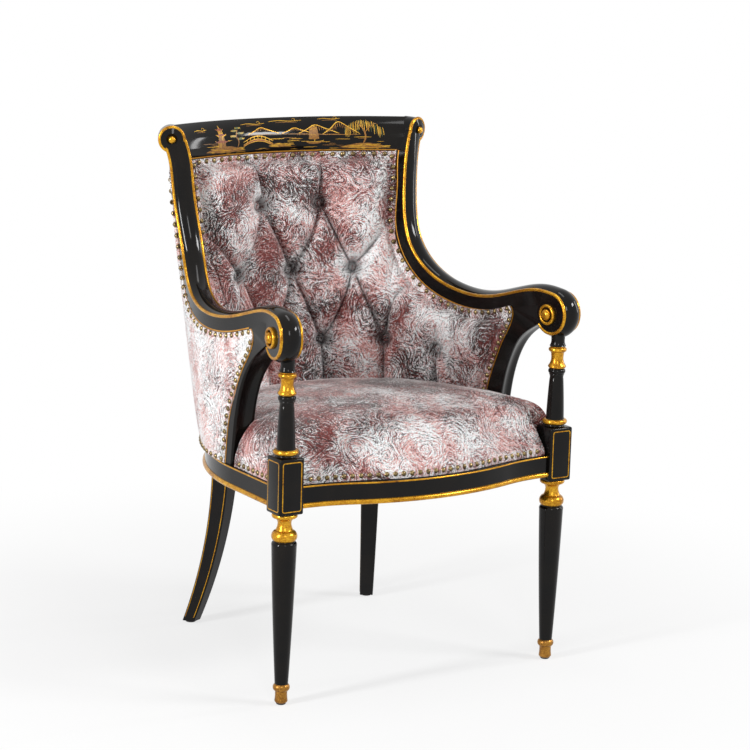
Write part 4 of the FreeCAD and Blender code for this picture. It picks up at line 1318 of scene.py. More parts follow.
@dataclass
class CrestRail:
    """Curved top rail with its backward roll."""

    plan: Plan
    roll: float = 16.0
    lip_depth: float = 28.0
    rebate_front: float = 8.0
    rebate_back: float = 11.0
    roll_proud: float = 6.5

    def section(self) -> list[Two]:
        """Section as distance behind the front face and height."""
        plan = self.plan
        roll_z = plan.crest_top - self.roll
        roll_d = plan.crest_thick + self.roll_proud - self.roll
        foot = plan.crest_border - self.lip_depth
        points = [(self.rebate_front, foot), (self.rebate_front, plan.crest_border), (0.0, plan.crest_border)]
        points += self.front_arc(22)
        start = math.radians(90)
        neck_z = roll_z - self.roll * 0.8
        end = math.atan2(neck_z - roll_z, plan.crest_thick - roll_d)
        for i in range(1, 19):
            a = start + (end - start) * i / 18
            points.append((roll_d + self.roll * math.cos(a), roll_z + self.roll * math.sin(a)))
        points += [(plan.crest_thick, plan.crest_back_border), (plan.crest_thick - self.rebate_back,
                                                                 plan.crest_back_border),
                   (plan.crest_thick - self.rebate_back, foot)]
        return points

    def front_arc(self, count: int) -> list[Two]:
        """Points of the front face after its lower border, up to the top of the roll."""
        plan = self.plan
        roll_z = plan.crest_top - self.roll
        roll_d = plan.crest_thick + self.roll_proud - self.roll
        a = np.array([0.0, plan.crest_border])
        b = np.array([roll_d * 0.2, roll_z - 1])
        c = np.array([roll_d, plan.crest_top])
        ab, cb = (a + b) / 2, (c + b) / 2
        m = np.array([b - a, b - c])
        center = np.linalg.solve(m, np.array([(b - a).dot(ab), (b - c).dot(cb)]))
        size = np.linalg.norm(a - center)
        start = math.atan2(a[1] - center[1], a[0] - center[0])
        turn = (math.atan2(c[1] - center[1], c[0] - center[0]) - start + math.pi) % (2 * math.pi) - math.pi
        return [(center[0] + size * math.cos(start + turn * i / count),
                 center[1] + size * math.sin(start + turn * i / count)) for i in range(1, count + 1)]

    def point(self, angle: float, d: float, z: float) -> np.ndarray:
        """Point of the rail at an angle from the middle."""
        return self.plan.crest_center + heading(90 - angle) * (self.plan.crest_radius + d) + UP * z

    def face(self, angle: float, run: float) -> Arrays:
        """Point of the front face and its outward normal.

        Args:
            angle: Angle from the middle.
            run: Way up the section from the lower border, on over the roll.

        Returns:
            The point and the normal.
        """
        line = Trail([vec(0, d, z) for d, z in self.section()[2:40]])
        low, here, high = line.at(np.array([max(0.0, run - 0.5), run, run + 0.5]))
        rise = unit(high - low)
        out = heading(90 - angle)
        return self.point(angle, here[1], here[2]), unit(UP * rise[1] - out * rise[2])

    def build(self, palette: Palette) -> None:
        """Make the rail and dress it."""
        section = self.section()
        rings = np.array([[self.point(angle, d, z) for d, z in section]
                          for angle in np.linspace(-self.plan.crest_half, self.plan.crest_half, 81)])
        rail = sweep("crest_rail_rolled", rings, [0] * len(section))
        finish(rail, palette.frame, ["crest_rail"], 30)


@dataclass
class ArmSupports:
    """Swept boards from the arms down to the side rails, with a hollowed front between eased arrises."""

    plan: Plan
    edge: EdgeLine
    inner_x: float = 253.0
    outer_x: float = 285.5
    bevel: float = 12.0
    skew: float = 7.0
    flush_low: float = 520.0
    flush_high: float = 612.0
    edge_deep: float = 5.0
    sunk_front: Two = (-214, 645)
    sunk_back: Two = (-130, 642)
    front: tuple[Two, ...] = ((-216, 610), (-187, 594), (-156, 573), (-113, 510), (-97, 450), (-88, 378))
    back: tuple[Two, ...] = ((-122, 627), (-131, 625.5), (-138.5, 620), (-140.5, 611), (-138, 602),
                             (-109, 561), (-77, 505), (-57, 450), (-48, 378))
    hollow: tuple[Two, ...] = ((0.0, 1.5), (0.04, 0.4), (0.10, 0.0), (0.16, 0.2), (0.30, 2.2), (0.5, 3.4),
                               (0.70, 2.2), (0.84, 0.2), (0.90, 0.0), (0.96, 0.4), (1.0, 1.5))

    def __post_init__(self) -> None:
        """Lay out the two border lines and the arm's cheeks over them."""
        self.front_line, self.back_line = (
            Curve([vec(0, y, z) for y, z in line], vec(0, line[1][0] - line[0][0], line[1][1] - line[0][1]),
                  vec(0, line[-1][0] - line[-2][0], line[-1][1] - line[-2][1]))
            for line in (self.front, self.back))
        stations = [self.edge.station(share) for share in np.linspace(0.55, 1.0, 90)]
        self.arm_cheeks = {inner: np.array([place + wide * (-1 if inner else 1) * (self.edge.cheek - 0.3)
                                            for place, _, wide, _ in stations]) for inner in (True, False)}

    def front_y(self, z: float) -> float:
        """Depth of the inner front border at one height."""
        fine = self.front_line.fine
        return float(np.interp(-z, -fine[:, 2], fine[:, 1]))

    def cheek_x(self, y: float, z: float, inner: bool) -> float:
        """Place of one cheek: it runs out flush with the arm's cheek."""
        arm = self.arm_cheeks[inner]
        flush = float(np.interp(-y, -arm[:, 1], arm[:, 0]))
        share = min(1.0, max(0.0, (z - self.flush_low) / (self.flush_high - self.flush_low)))
        share *= share * (3 - 2 * share)
        return (self.inner_x if inner else self.outer_x) * (1 - share) + flush * share

    def rear(self, share: float, inner: bool, ahead: float = 0.0) -> np.ndarray:
        """Point beside the rear border of one cheek.

        Args:
            share: Way up from the rail, 0, to the underside of the arm, 1.
            inner: Whether this is the sitter's side.
            ahead: How far into the board.

        Returns:
            The point.
        """
        place, along = self.back_line.at(1 - 0.965 * share)
        place = place + np.cross(along, vec(1, 0, 0)) * ahead
        y = place[1] + (self.skew if inner else -self.skew)
        return vec(self.cheek_x(y, place[2], inner), y, place[2])

    def build(self, palette: Palette) -> None:
        """Make both boards and dress them."""
        rings = [self._ring(vec(0, *self.sunk_front), vec(0, *self.sunk_back))]
        for share in np.linspace(0, 1, 60):
            rings.append(self._ring(self.front_line.at(share)[0], self.back_line.at(share)[0]))
        rings = np.array(rings)
        for mirror, word in SIDES:
            board = sweep(f"arm_support_board_{word}", sided(rings, mirror), [0] * rings.shape[1])
            finish(board, palette.frame, [f"arm_support_{word}"], 34)

    def _ring(self, front: np.ndarray, back: np.ndarray) -> list[np.ndarray]:
        """Section of the board between a point of its front and a point of its back."""
        into = unit(back - front)
        ring = []
        for inner, sign in ((True, 1), (False, -1)):
            y = back[1] + self.skew * sign
            ring.append(vec(self.cheek_x(y, back[2], inner), y, back[2]))
        ends = []
        for inner, y in ((False, front[1] + self.bevel), (True, front[1])):
            ends.append(vec(self.cheek_x(y, front[2], inner), y, front[2]))
        ring.append(ends[0] + into * self.edge_deep)
        ring += [ends[0] + (ends[1] - ends[0]) * across + into * deep for across, deep in self.hollow]
        ring.append(ends[1] + into * self.edge_deep)
        return ring


def blend_runs(knots: Sequence[float], values: Sequence[float], places: np.ndarray) -> np.ndarray:
    """Smooth rising curve through knots, with no overshoot between them.

    Args:
        knots: Rising positions.
        values: Rising values at the knots.
        places: Where to read the curve.

    Returns:
        Values at the places.
    """
    x = np.array(knots, dtype=float)
    y = np.array(values, dtype=float)
    h = np.diff(x)
    d = np.diff(y) / h
    m = np.empty(len(x))
    m[0], m[-1] = d[0], d[-1]
    for i in range(1, len(x) - 1):
        w1, w2 = 2 * h[i] + h[i - 1], h[i] + 2 * h[i - 1]
        m[i] = (w1 + w2) / (w1 / d[i - 1] + w2 / d[i])
    i = np.clip(np.searchsorted(x, places) - 1, 0, len(h) - 1)
    t = (places - x[i]) / h[i]
    return hermite(t, h[i], (y[i], y[i + 1]), (m[i], m[i + 1]))


class Trail:
    """Polyline that is read by its run."""

    def __init__(self, points: Sequence[np.ndarray]) -> None:
        """Measure the polyline."""
        self.points = np.array(points, dtype=float)
        self.run = run_of(self.points)

    @property
    def length(self) -> float:
        """Whole run."""
        return float(self.run[-1])

    def at(self, runs: np.ndarray) -> np.ndarray:
        """Points at some runs."""
        return read(runs, self.run, self.points)


def distance_to(trail: np.ndarray, places: np.ndarray) -> tuple[np.ndarray, np.ndarray, np.ndarray]:
    """Distance to a polyline that lies on a surface.

    Args:
        trail: Points of the polyline.
        places: Points of the surface.

    Returns:
        Distances, the share of the polyline that is nearest, and how far a place lies above it, from -1 to 1.
    """
    best = np.full(len(places), 1e9)
    share = np.zeros(len(places))
    lean = np.zeros(len(places))
    outer = np.sign(places[:, 0]) * 0.35
    count = len(trail) - 1
    for i in range(count):
        a, b = trail[i], trail[i + 1]
        along = b - a
        t = np.clip((places - a) @ along / max(along.dot(along), 1e-6), 0, 1)
        away = places - (a + t[:, None] * along)
        d = np.linalg.norm(away, axis=1)
        nearer = d < best
        best = np.where(nearer, d, best)
        share = np.where(nearer, (i + t) / count, share)
        lean = np.where(nearer, (away[:, 2] + outer * away[:, 0]) / np.maximum(d, 1e-6), lean)
    return best, share, np.clip(lean, -1, 1)


def on_surface(trail: np.ndarray, places: np.ndarray) -> np.ndarray:
    """Move a polyline to the nearest points of a surface and ease it."""
    moved = np.array([places[np.argmin(np.sum((places - point) ** 2, axis=1))] for point in trail])
    return ease(moved, 2)


def surface_normals(grid: np.ndarray) -> np.ndarray:
    """Unit normals of a grid of points, from its rows and columns."""
    return unit_rows(np.cross(np.gradient(grid, axis=0), np.gradient(grid, axis=1)))


def mark_painted_shade(item: Piece, values: np.ndarray) -> None:
    """Store at each point the painted shade of pits and pleats, from 0 to 1, which darkens the cloth's
    colour.
    """
    item.data.attributes.new("hollow", "FLOAT", "POINT").data.foreach_set("value", values)


def closed_slab(name: str, front: np.ndarray, back: np.ndarray, hollow: np.ndarray | None = None) -> Piece:
    """Close a face grid and a back grid of as many lines into one solid.

    Args:
        name: Name of the piece.
        front: Grid of the face.
        back: Grid of the back, with as many or fewer points to a line.
        hollow: Painted shade in pits and pleats at each point of the face, from 0 to 1.

    Returns:
        The solid.
    """
    rows, columns, _ = front.shape
    deep = back.shape[1]
    shift = rows * columns
    faces: list[Sequence[int]] = list(grid_faces(rows, columns, False))
    faces += [tuple(reversed(face)) for face in grid_faces(rows, deep, False, shift)]
    for r in range(rows - 1):
        start, under = r * columns, shift + r * deep
        for a, b in ((start, under), (start + columns - 1, under + deep - 1)):
            faces.append((a, a + columns, b + deep, b))
    for r in (0, rows - 1):
        start, under = r * columns, shift + r * deep
        faces.append([start + c for c in range(columns)] + [under + c for c in range(deep - 1, -1, -1)])
    item = mesh_object(name, np.vstack([front.reshape(-1, 3), back.reshape(-1, 3)]), faces)
    if hollow is not None:
        mark_painted_shade(item, np.concatenate([hollow.ravel(), np.zeros(rows * deep)]))
    mend(item, 0.01)
    return item


def stile_shift(climb: float) -> float:
    """Distance that the inner border stands forward on the stile's cheek.

    Args:
        climb: Place from the elbow, 0, to the corner at the crest, 1.

    Returns:
        Distance in mm.
    """
    start, run, corner, bow = 0.3, 0.7, 5.6, 6.0
    rise = min(1.0, max(0.0, (climb - start) / run))
    return corner * rise ** 2 + bow * math.sin(math.pi * rise) ** 2


@dataclass
class TubSkin:
    """Ruled skin of the tub from the rail up to the border along arms, stiles and crest.

    It meets the rear border of the arm supports. Inner says whether this is the sitter's side.
    """

    plan: Plan
    edge: EdgeLine
    support: ArmSupports
    inner: bool
    side_steps: int = 49
    fan: float = 62.0
    inner_foot_z: float = 381.0
    outer_foot_z: float = 378.6
    inner_inset: float = 28.0
    outer_inset: float = 1.5
    inner_drop: float = 1.2
    outer_drop: float = 0.5
    outer_elbow: float = 0.30
    crest_sink: float = 1.8
    edge_sink: float = 0.4
    knots: tuple[float, ...] = (0.0, 0.40, 0.62, 1.0)

    def __post_init__(self) -> None:
        """Lay out the foot line and the border line."""
        support, inner = self.support, self.inner
        self.sign = -1.0 if inner else 1.0
        self.foot_z = self.inner_foot_z if inner else self.outer_foot_z
        self.front_low, self.front_high = support.rear(0.0, inner), support.rear(1.0, inner)
        self.border_n = -self.edge.depth - self.edge_sink
        self.foot = Trail(self._foot_points())
        self.border, self.border_knots = self._border_points()
        side_run = float(self.foot.run[self.side_steps])
        self.foot_knots = [0.0, side_run, side_run + self.fan, self.foot.length]

    def _foot_inset(self, share: float) -> float:
        """Inset of the foot line from the rail face."""
        if self.inner:
            return self.inner_inset
        grown = min(1.0, 3 * share)
        return -self.plan.cover_proud * grown + self.outer_inset * (1 - grown)

    def _foot_points(self) -> list[np.ndarray]:
        """Foot line from the support to the middle of the back."""
        plan = self.plan
        points = []
        for share in np.linspace(0, 1, self.side_steps + 1)[:-1]:
            y = self.front_low[1] + (plan.joint[1] - self.front_low[1]) * share
            place, normal = plan.side_point(y, 0.0)
            points.append(place - normal * self._foot_inset(share) + UP * self.foot_z)
        inset = self._foot_inset(1.0)
        for angle in np.linspace(plan.joint_angle, 90, 60):
            points.append(plan.rear_center + heading(angle) * (plan.rear_radius - inset) + UP * self.foot_z)
        return points

    def _border_points(self) -> tuple[Trail, list[float]]:
        """Border line along arm, stile and crest, with the runs of its corners."""
        edge, plan = self.edge, self.plan
        if self.inner:
            top, radius = plan.crest_border - self.inner_drop, plan.crest_radius + self.crest_sink
            elbow = edge.share_at_y(edge.elbow_y)
        else:
            top, radius = plan.crest_back_border - self.outer_drop, plan.crest_radius + plan.crest_thick
            elbow = self.outer_elbow
        stile_top = edge.share_at_z(top)
        arm = np.linspace(0.5, 1.0, 200)
        depths = np.array([self._on_edge(share, self.border_n)[1] for share in arm])
        front = float(np.interp(-self.front_high[1], -depths, arm))
        points = []
        for share in np.linspace(front, elbow, 70)[:-1]:
            points.append(self._on_edge(share, self.border_n))
        arm_count = len(points)
        for share in np.linspace(elbow, stile_top, 60):
            climb = (elbow - share) / (elbow - stile_top)
            points.append(self._on_edge(share, self.border_n + (stile_shift(climb) if self.inner else 0.0)))
        corner = len(points) - 1
        end = math.degrees(math.atan2(points[-1][0], points[-1][1] - plan.crest_center[1]))
        for angle in np.linspace(end, 0, 60)[1:]:
            points.append(plan.crest_center + heading(90 - angle) * radius + UP * top)
        trail = Trail(points)
        return trail, [0.0, float(trail.run[arm_count]), float(trail.run[corner]), trail.length]

    def _on_edge(self, share: float, n: float) -> np.ndarray:
        """Point on the cheek of the moulded edge."""
        place, _, wide, face = self.edge.station(share)
        return place + wide * self.sign * self.edge.cheek + face * n

    def ruled(self, shares: np.ndarray, rows: int) -> np.ndarray:
        """Grid of the plain skin.

        Args:
            shares: Places from the support, 0, to the middle of the back, 1.
            rows: Points from foot to border.

        Returns:
            Array of shares by rows by three.
        """
        low = self.foot.at(blend_runs(self.knots, self.foot_knots, shares))
        high = self.border.at(blend_runs(self.knots, self.border_knots, shares))
        v = np.linspace(0, 1, rows)
        grid = low[:, None, :] + (high - low)[:, None, :] * v[None, :, None]
        start_low, start_high = self.foot.at(np.array([0.0]))[0], self.border.at(np.array([0.0]))[0]
        straight = start_low + (start_high - start_low) * v[:, None]
        column = np.array([self.support.rear(share, self.inner, -0.5) for share in v])
        pull = np.clip(1 - shares / self.knots[1], 0, 1) ** 2
        return grid + (column - straight)[None, :, :] * pull[:, None, None]


class PleatEnd(IntEnum):
    """Where a pleat ends."""

    BUTTON = 0
    BORDER = 1
    OPEN = 2


@dataclass
class Pleat:
    """Pleat line over the skin, its end, and the reach of its sides where both are alike."""

    trail: np.ndarray
    end: PleatEnd
    reach: float = 0.0


@dataclass
class DeepButtons:
    """Buttons, pleats and puffs of the inside back and arms."""

    rows: tuple[tuple[float, tuple[float, ...]], ...] = (
        (770.0, (-65.0, 65.0)), (650.0, (-130.0, 0.0, 130.0)), (518.0, (-190.0, -65.0, 65.0, 190.0)))
    floor: float = 36.0
    spacing: float = 130.0
    border_pleats: tuple[tuple[float, float, float, float, float], ...] = (
        (65.0, 770.0, 76.0, 862.0, -4.0), (130.0, 650.0, 212.0, 742.0, 0.0))
    elbow_pleat: tuple[Three, ...] = (
        (183.5, 177.0, 540.0), (184.5, 180.0, 558.5), (195.0, 177.0, 582.5), (203.5, 168.0, 600.5),
        (213.0, 154.0, 617.5), (221.5, 136.5, 632.0))
    arm_pleats: tuple[Two, ...] = ((-5.0, 388.0), (-21.0, 388.0), (-6.5, 568.0))
    foot_z: float = 388.0
    arm_y: float = 68.0
    arm_z: float = 513.5
    arm_inset: float = 31.0
    pit_radius: float = 58.0
    pleat_soft: float = 52.0
    pleat_sharp: float = 20.0
    pleat_rise: float = 0.48
    pleat_sag: Two = (9.0, -1.0)
    neighbour: float = 0.6
    foot_draw: float = 0.97
    arm_reach: float = 20.0
    arm_rise: float = 0.22

    def place(self, plan: Plan, run: float, z: float) -> Arrays:
        """Place and inward direction on the back at a run from the middle."""
        tub = TubArc(plan, z)
        angle = math.degrees(run / (tub.radius - self.floor))
        return tub.at(angle, self.floor), -heading(90 - angle)

    def buttons(self, plan: Plan) -> list[Arrays]:
        """Places and inward directions of all buttons."""
        found = [self.place(plan, run, z) for z, runs in self.rows for run in runs]
        point, normal = plan.side_point(self.arm_y, self.arm_inset)
        arm = point + UP * self.arm_z
        return found + [(arm, -normal), (flip(arm), -flip(normal))]

    def pleats(self, plan: Plan) -> list[Pleat]:
        """Pleats between buttons, out to the borders and down into the seat."""
        lines = []
        for (z, runs), (low, low_runs) in zip(self.rows, self.rows[1:]):
            for run in runs:
                for other in low_runs:
                    if abs(other - run) < self.spacing * self.neighbour:
                        sag = self.pleat_sag[0] if run > other else self.pleat_sag[1]
                        lines.append(Pleat(self._line(plan, run, z, other, low, sag), PleatEnd.BUTTON))
        for run, z, end, end_z, sag in self.border_pleats:
            for side in (1, -1):
                trail = self._line(plan, side * run, z, side * end, end_z, side * sag)
                lines.append(Pleat(trail, PleatEnd.BORDER))
        z, runs = self.rows[-1]
        for run in runs:
            trail = self._line(plan, run, z, run * self.foot_draw, self.foot_z, 0.0)
            lines.append(Pleat(trail, PleatEnd.BORDER))
        corner = Trail([self.place(plan, runs[-1], z)[0]] + [vec(*spot) for spot in self.elbow_pleat])
        elbow = corner.at(np.linspace(0, corner.length, 16))
        lines += [Pleat(elbow, PleatEnd.BORDER), Pleat(flip(elbow), PleatEnd.BORDER)]
        point, _ = plan.side_point(self.arm_y, self.arm_inset)
        for shift, end_z in self.arm_pleats:
            start, stop = point + UP * self.arm_z, point + vec(0, shift, end_z)
            trail = start + (stop - start) * np.linspace(0, 1, 12)[:, None]
            end = PleatEnd.OPEN if end_z > self.arm_z else PleatEnd.BORDER
            lines += [Pleat(trail, end, self.arm_reach), Pleat(flip(trail), end, self.arm_reach)]
        return lines

    def floor_of(self, pleat: Pleat, share: np.ndarray) -> np.ndarray:
        """Height of a pleat's floor along it, as a share of the puffs beside it."""
        rise = self.arm_rise if pleat.reach else self.pleat_rise
        if pleat.end == PleatEnd.BUTTON:
            return rise * np.sin(np.pi * share) ** 0.55
        if pleat.end == PleatEnd.BORDER:
            return rise * np.sin(np.pi / 2 * share) ** 0.7
        return share ** 1.2

    def _line(self, plan: Plan, run: float, z: float, end: float, end_z: float, sag: float) -> np.ndarray:
        """Bowed line over the back between two places."""
        points = []
        for s in np.linspace(0, 1, 12):
            bow = sag * 4 * s * (1 - s)
            points.append(self.place(plan, run + (end - run) * s + bow, z + (end_z - z) * s)[0])
        return np.array(points)


@dataclass
class InsideTub:
    """Deep-buttoned inside back and arms, one cover run round the tub.

    A pair of sizes is a start and a run, or a middle and a width for elbow_at and gather_at.
    """

    plan: Plan
    edge: EdgeLine
    support: ArmSupports
    tufts: DeepButtons = field(default_factory=DeepButtons)
    puff: float = 37.0
    arm_puff: float = 26.0
    band: float = 15.5
    band_rise: float = 2.2
    shoulder: float = 52.0
    elbow_flat: float = 0.60
    elbow_at: Two = (0.54, 0.11)
    elbow_low: Two = (530.0, 100.0)
    stile_low: Two = (660.0, 60.0)
    stile_flat: float = 0.4
    arm_end: Two = (0.25, 0.3)
    # Painted shade: the fold width and the fold, pit and button shade values darken the cloth's colour along
    # pleats, in pits and on the buttons.
    fold_shade_wide: float = 4.5
    fold_painted_shade: float = 0.42
    arm_fold_painted_shade: float = 0.8
    pit_floor: float = 7.0
    pit_painted_shade: Two = (6.0, 12.0)
    pit_power: float = 1.15
    gather: float = 1.5
    gather_at: Two = (21, 9)
    gather_start: float = 1.3
    thin: float = 12.0
    button: tuple[Three, ...] = (
        (7.0, -1.5, 0), (8.6, 1.0, 0.5), (7.4, 3.6, 0.6), (0.3, 6.0, 0.9))
    button_painted_shade: float = 0.65
    thick: float = 6.0

    def build(self, palette: Palette) -> Arrays:
        """Make the cover and its buttons.

        Returns:
            Grid of the face and its normals, for the nails.
        """
        skin = TubSkin(self.plan, self.edge, self.support, True)
        half = np.linspace(0, 1, 245)
        grid = halves(skin.ruled(half, 177))
        shares = np.concatenate([half, half[:-1][::-1]])
        normals = surface_normals(grid)
        inward = (vec(0, -100, 0) - grid) * vec(1, 1, 0)
        normals *= np.where(np.sum(normals * inward, axis=2) < 0, -1.0, 1.0)[..., None]
        height, hollow = self._height(grid, shares, halves(skin.border.points))
        face = grid + normals * height[..., None]
        back = (grid - normals * self.thick)[:, ::16]
        cover = closed_slab("inside_tub_cover", face, back, hollow)
        nodes = ["inside_back_pad", "inside_arm_pad_left", "inside_arm_pad_right"]
        finish(cover, [palette.cloth], nodes, 60)
        self._buttons(palette, grid, face)
        outs = surface_normals(face)
        return face, outs * np.sign(np.sum(outs * normals, axis=2))[..., None]

    def _height(self, grid: np.ndarray, shares: np.ndarray, border: np.ndarray) -> Arrays:
        """Height of the padded face over the plain skin, and the painted shade of its pits and pleats."""
        places = grid.reshape(-1, 3)
        shoulder = np.ones(len(places))
        for line in (border[::3], grid[0][::8], grid[-1][::8]):
            shoulder *= quarter_round(rising(distance_to(line, places)[0], self.band, self.shoulder))
        arm = rising(shares, *self.arm_end)
        arm = np.repeat(arm * arm * (3 - 2 * arm), grid.shape[1])
        elbow = np.repeat(np.exp(-((shares - self.elbow_at[0]) / self.elbow_at[1]) ** 2), grid.shape[1])
        z = places[:, 2]
        elbow *= rising(z, *self.elbow_low) + self.stile_flat * rising(z, *self.stile_low)
        top = (self.arm_puff + (self.puff - self.arm_puff) * arm) * shoulder * (1 - self.elbow_flat * elbow)
        fill = np.ones(len(places))
        ripple = np.zeros(len(places))
        hollow = np.zeros(len(places))
        tufts = self.tufts
        for pleat in tufts.pleats(self.plan):
            gap, share, lean = distance_to(on_surface(pleat.trail, places), places)
            floor = tufts.floor_of(pleat, share)
            reach = tufts.pleat_soft + (tufts.pleat_sharp - tufts.pleat_soft) * (0.5 + 0.5 * lean)
            fade = np.clip(gap / (pleat.reach or reach), 0, 1)
            fill = np.minimum(fill, floor + (1 - floor) * quarter_round(fade))
            # Painted shade along the pleat line, weaker towards the end of an open pleat.
            depth = self.arm_fold_painted_shade if pleat.reach else self.fold_painted_shade
            fold = depth * np.exp(-(gap / self.fold_shade_wide) ** 2) * (1 - share * (pleat.end == PleatEnd.OPEN))
            hollow = np.maximum(hollow, fold)
        for place, inward in tufts.buttons(self.plan):
            away = places - on_surface(np.array([place]), places)[0]
            gap = np.linalg.norm(away, axis=1)
            pit = quarter_round(rising(gap, self.pit_floor, tufts.pit_radius))
            fill = np.minimum(fill, pit ** self.pit_power)
            # Painted shade in the pit, fading out past its floor.
            edge, soft = self.pit_painted_shade
            hollow = np.maximum(hollow, np.exp(-(np.maximum(gap - edge, 0) / soft) ** 2))
            turn = np.arctan2(away @ UP, away @ np.cross(inward, UP))
            ring, wide = self.gather_at
            waves = self.gather * np.cos(6 * turn + self.gather_start + place[2])
            ripple += waves * np.exp(-((gap - ring) / wide) ** 2)
        height = self.band_rise + top * fill + ripple * np.clip(top / self.thin, 0, 1)
        # The painted shade fades out where the puff is thin.
        hollow *= np.clip(top / self.thin, 0, 1)
        return height.reshape(grid.shape[:2]), hollow.reshape(grid.shape[:2])

    def _buttons(self, palette: Palette, grid: np.ndarray, face: np.ndarray) -> None:
        """Covered buttons on the floors of the pits."""
        pieces = []
        places, floors = grid.reshape(-1, 3), face.reshape(-1, 3)
        for spot, inward in self.tufts.buttons(self.plan):
            place = floors[np.argmin(np.sum((places - spot) ** 2, axis=1))]
            pieces.append(turned("button", self.button, place + inward * 0.5, inward, turns=24))
        buttons = join(pieces, "covered_buttons")
        # Painted shade: the buttons' cloth is darkened as if lying in the shade of their pits.
        mark_painted_shade(buttons, np.full(len(buttons.data.vertices), self.button_painted_shade))
        finish(buttons, [palette.cloth], ["back_buttons"], 50)


@dataclass
class OutsideCovers:
    """Plain covers of the outside back and outside arms."""

    plan: Plan
    edge: EdgeLine
    support: ArmSupports
    thick: float = 4.0
    bulge: float = 5.0
    swell_run: float = 0.2
    band_rise: float = 1.0

    def build(self, palette: Palette) -> Arrays:
        """Make the three covers.

        Returns:
            Grid of the left half's face and its normals, for the nails.
        """
        skin = TubSkin(self.plan, self.edge, self.support, False)
        seam = skin.knots[1]
        parts = {"left": np.linspace(0, seam, 44), "back": np.linspace(seam, 1, 70)}
        built = {}
        v = np.linspace(0, 1, 60)
        for word, shares in parts.items():
            grid = skin.ruled(shares, len(v))
            normals = surface_normals(grid)
            normals = normals * np.sign(np.mean(np.sum(normals * (grid * vec(1, 1, 0)), axis=2)))
            swell = np.clip(shares / self.swell_run, 0, 1)
            rise = self.band_rise + np.outer(self.bulge * swell * (2 - swell), 1 - (2 * v - 1) ** 4)
            built[word] = (grid + normals * rise[..., None], grid - normals * self.thick, normals)
        face, back, normals = built["left"]
        for mirror, word in SIDES:
            cover = closed_slab(f"outside_arm_cover_{word}", sided(face, mirror), sided(back, mirror))
            self._finish(cover, [f"outside_arm_panel_{word}"], palette)
        rear, rear_back, rear_normals = built["back"]
        cover = closed_slab("outside_back_cover", halves(rear), halves(rear_back))
        self._finish(cover, ["outside_back_panel"], palette)
        return np.concatenate([face[:-1], rear]), np.concatenate([normals[:-1], rear_normals])

    def _finish(self, cover: Piece, nodes: Sequence[str], palette: Palette) -> None:
        """Shade, dress and settle one cover."""
        # The outside covers' cloth is paler: partly the pattern, partly painted light.
        finish(cover, [palette.outer_cloth_paler_and_lit], nodes, 50)


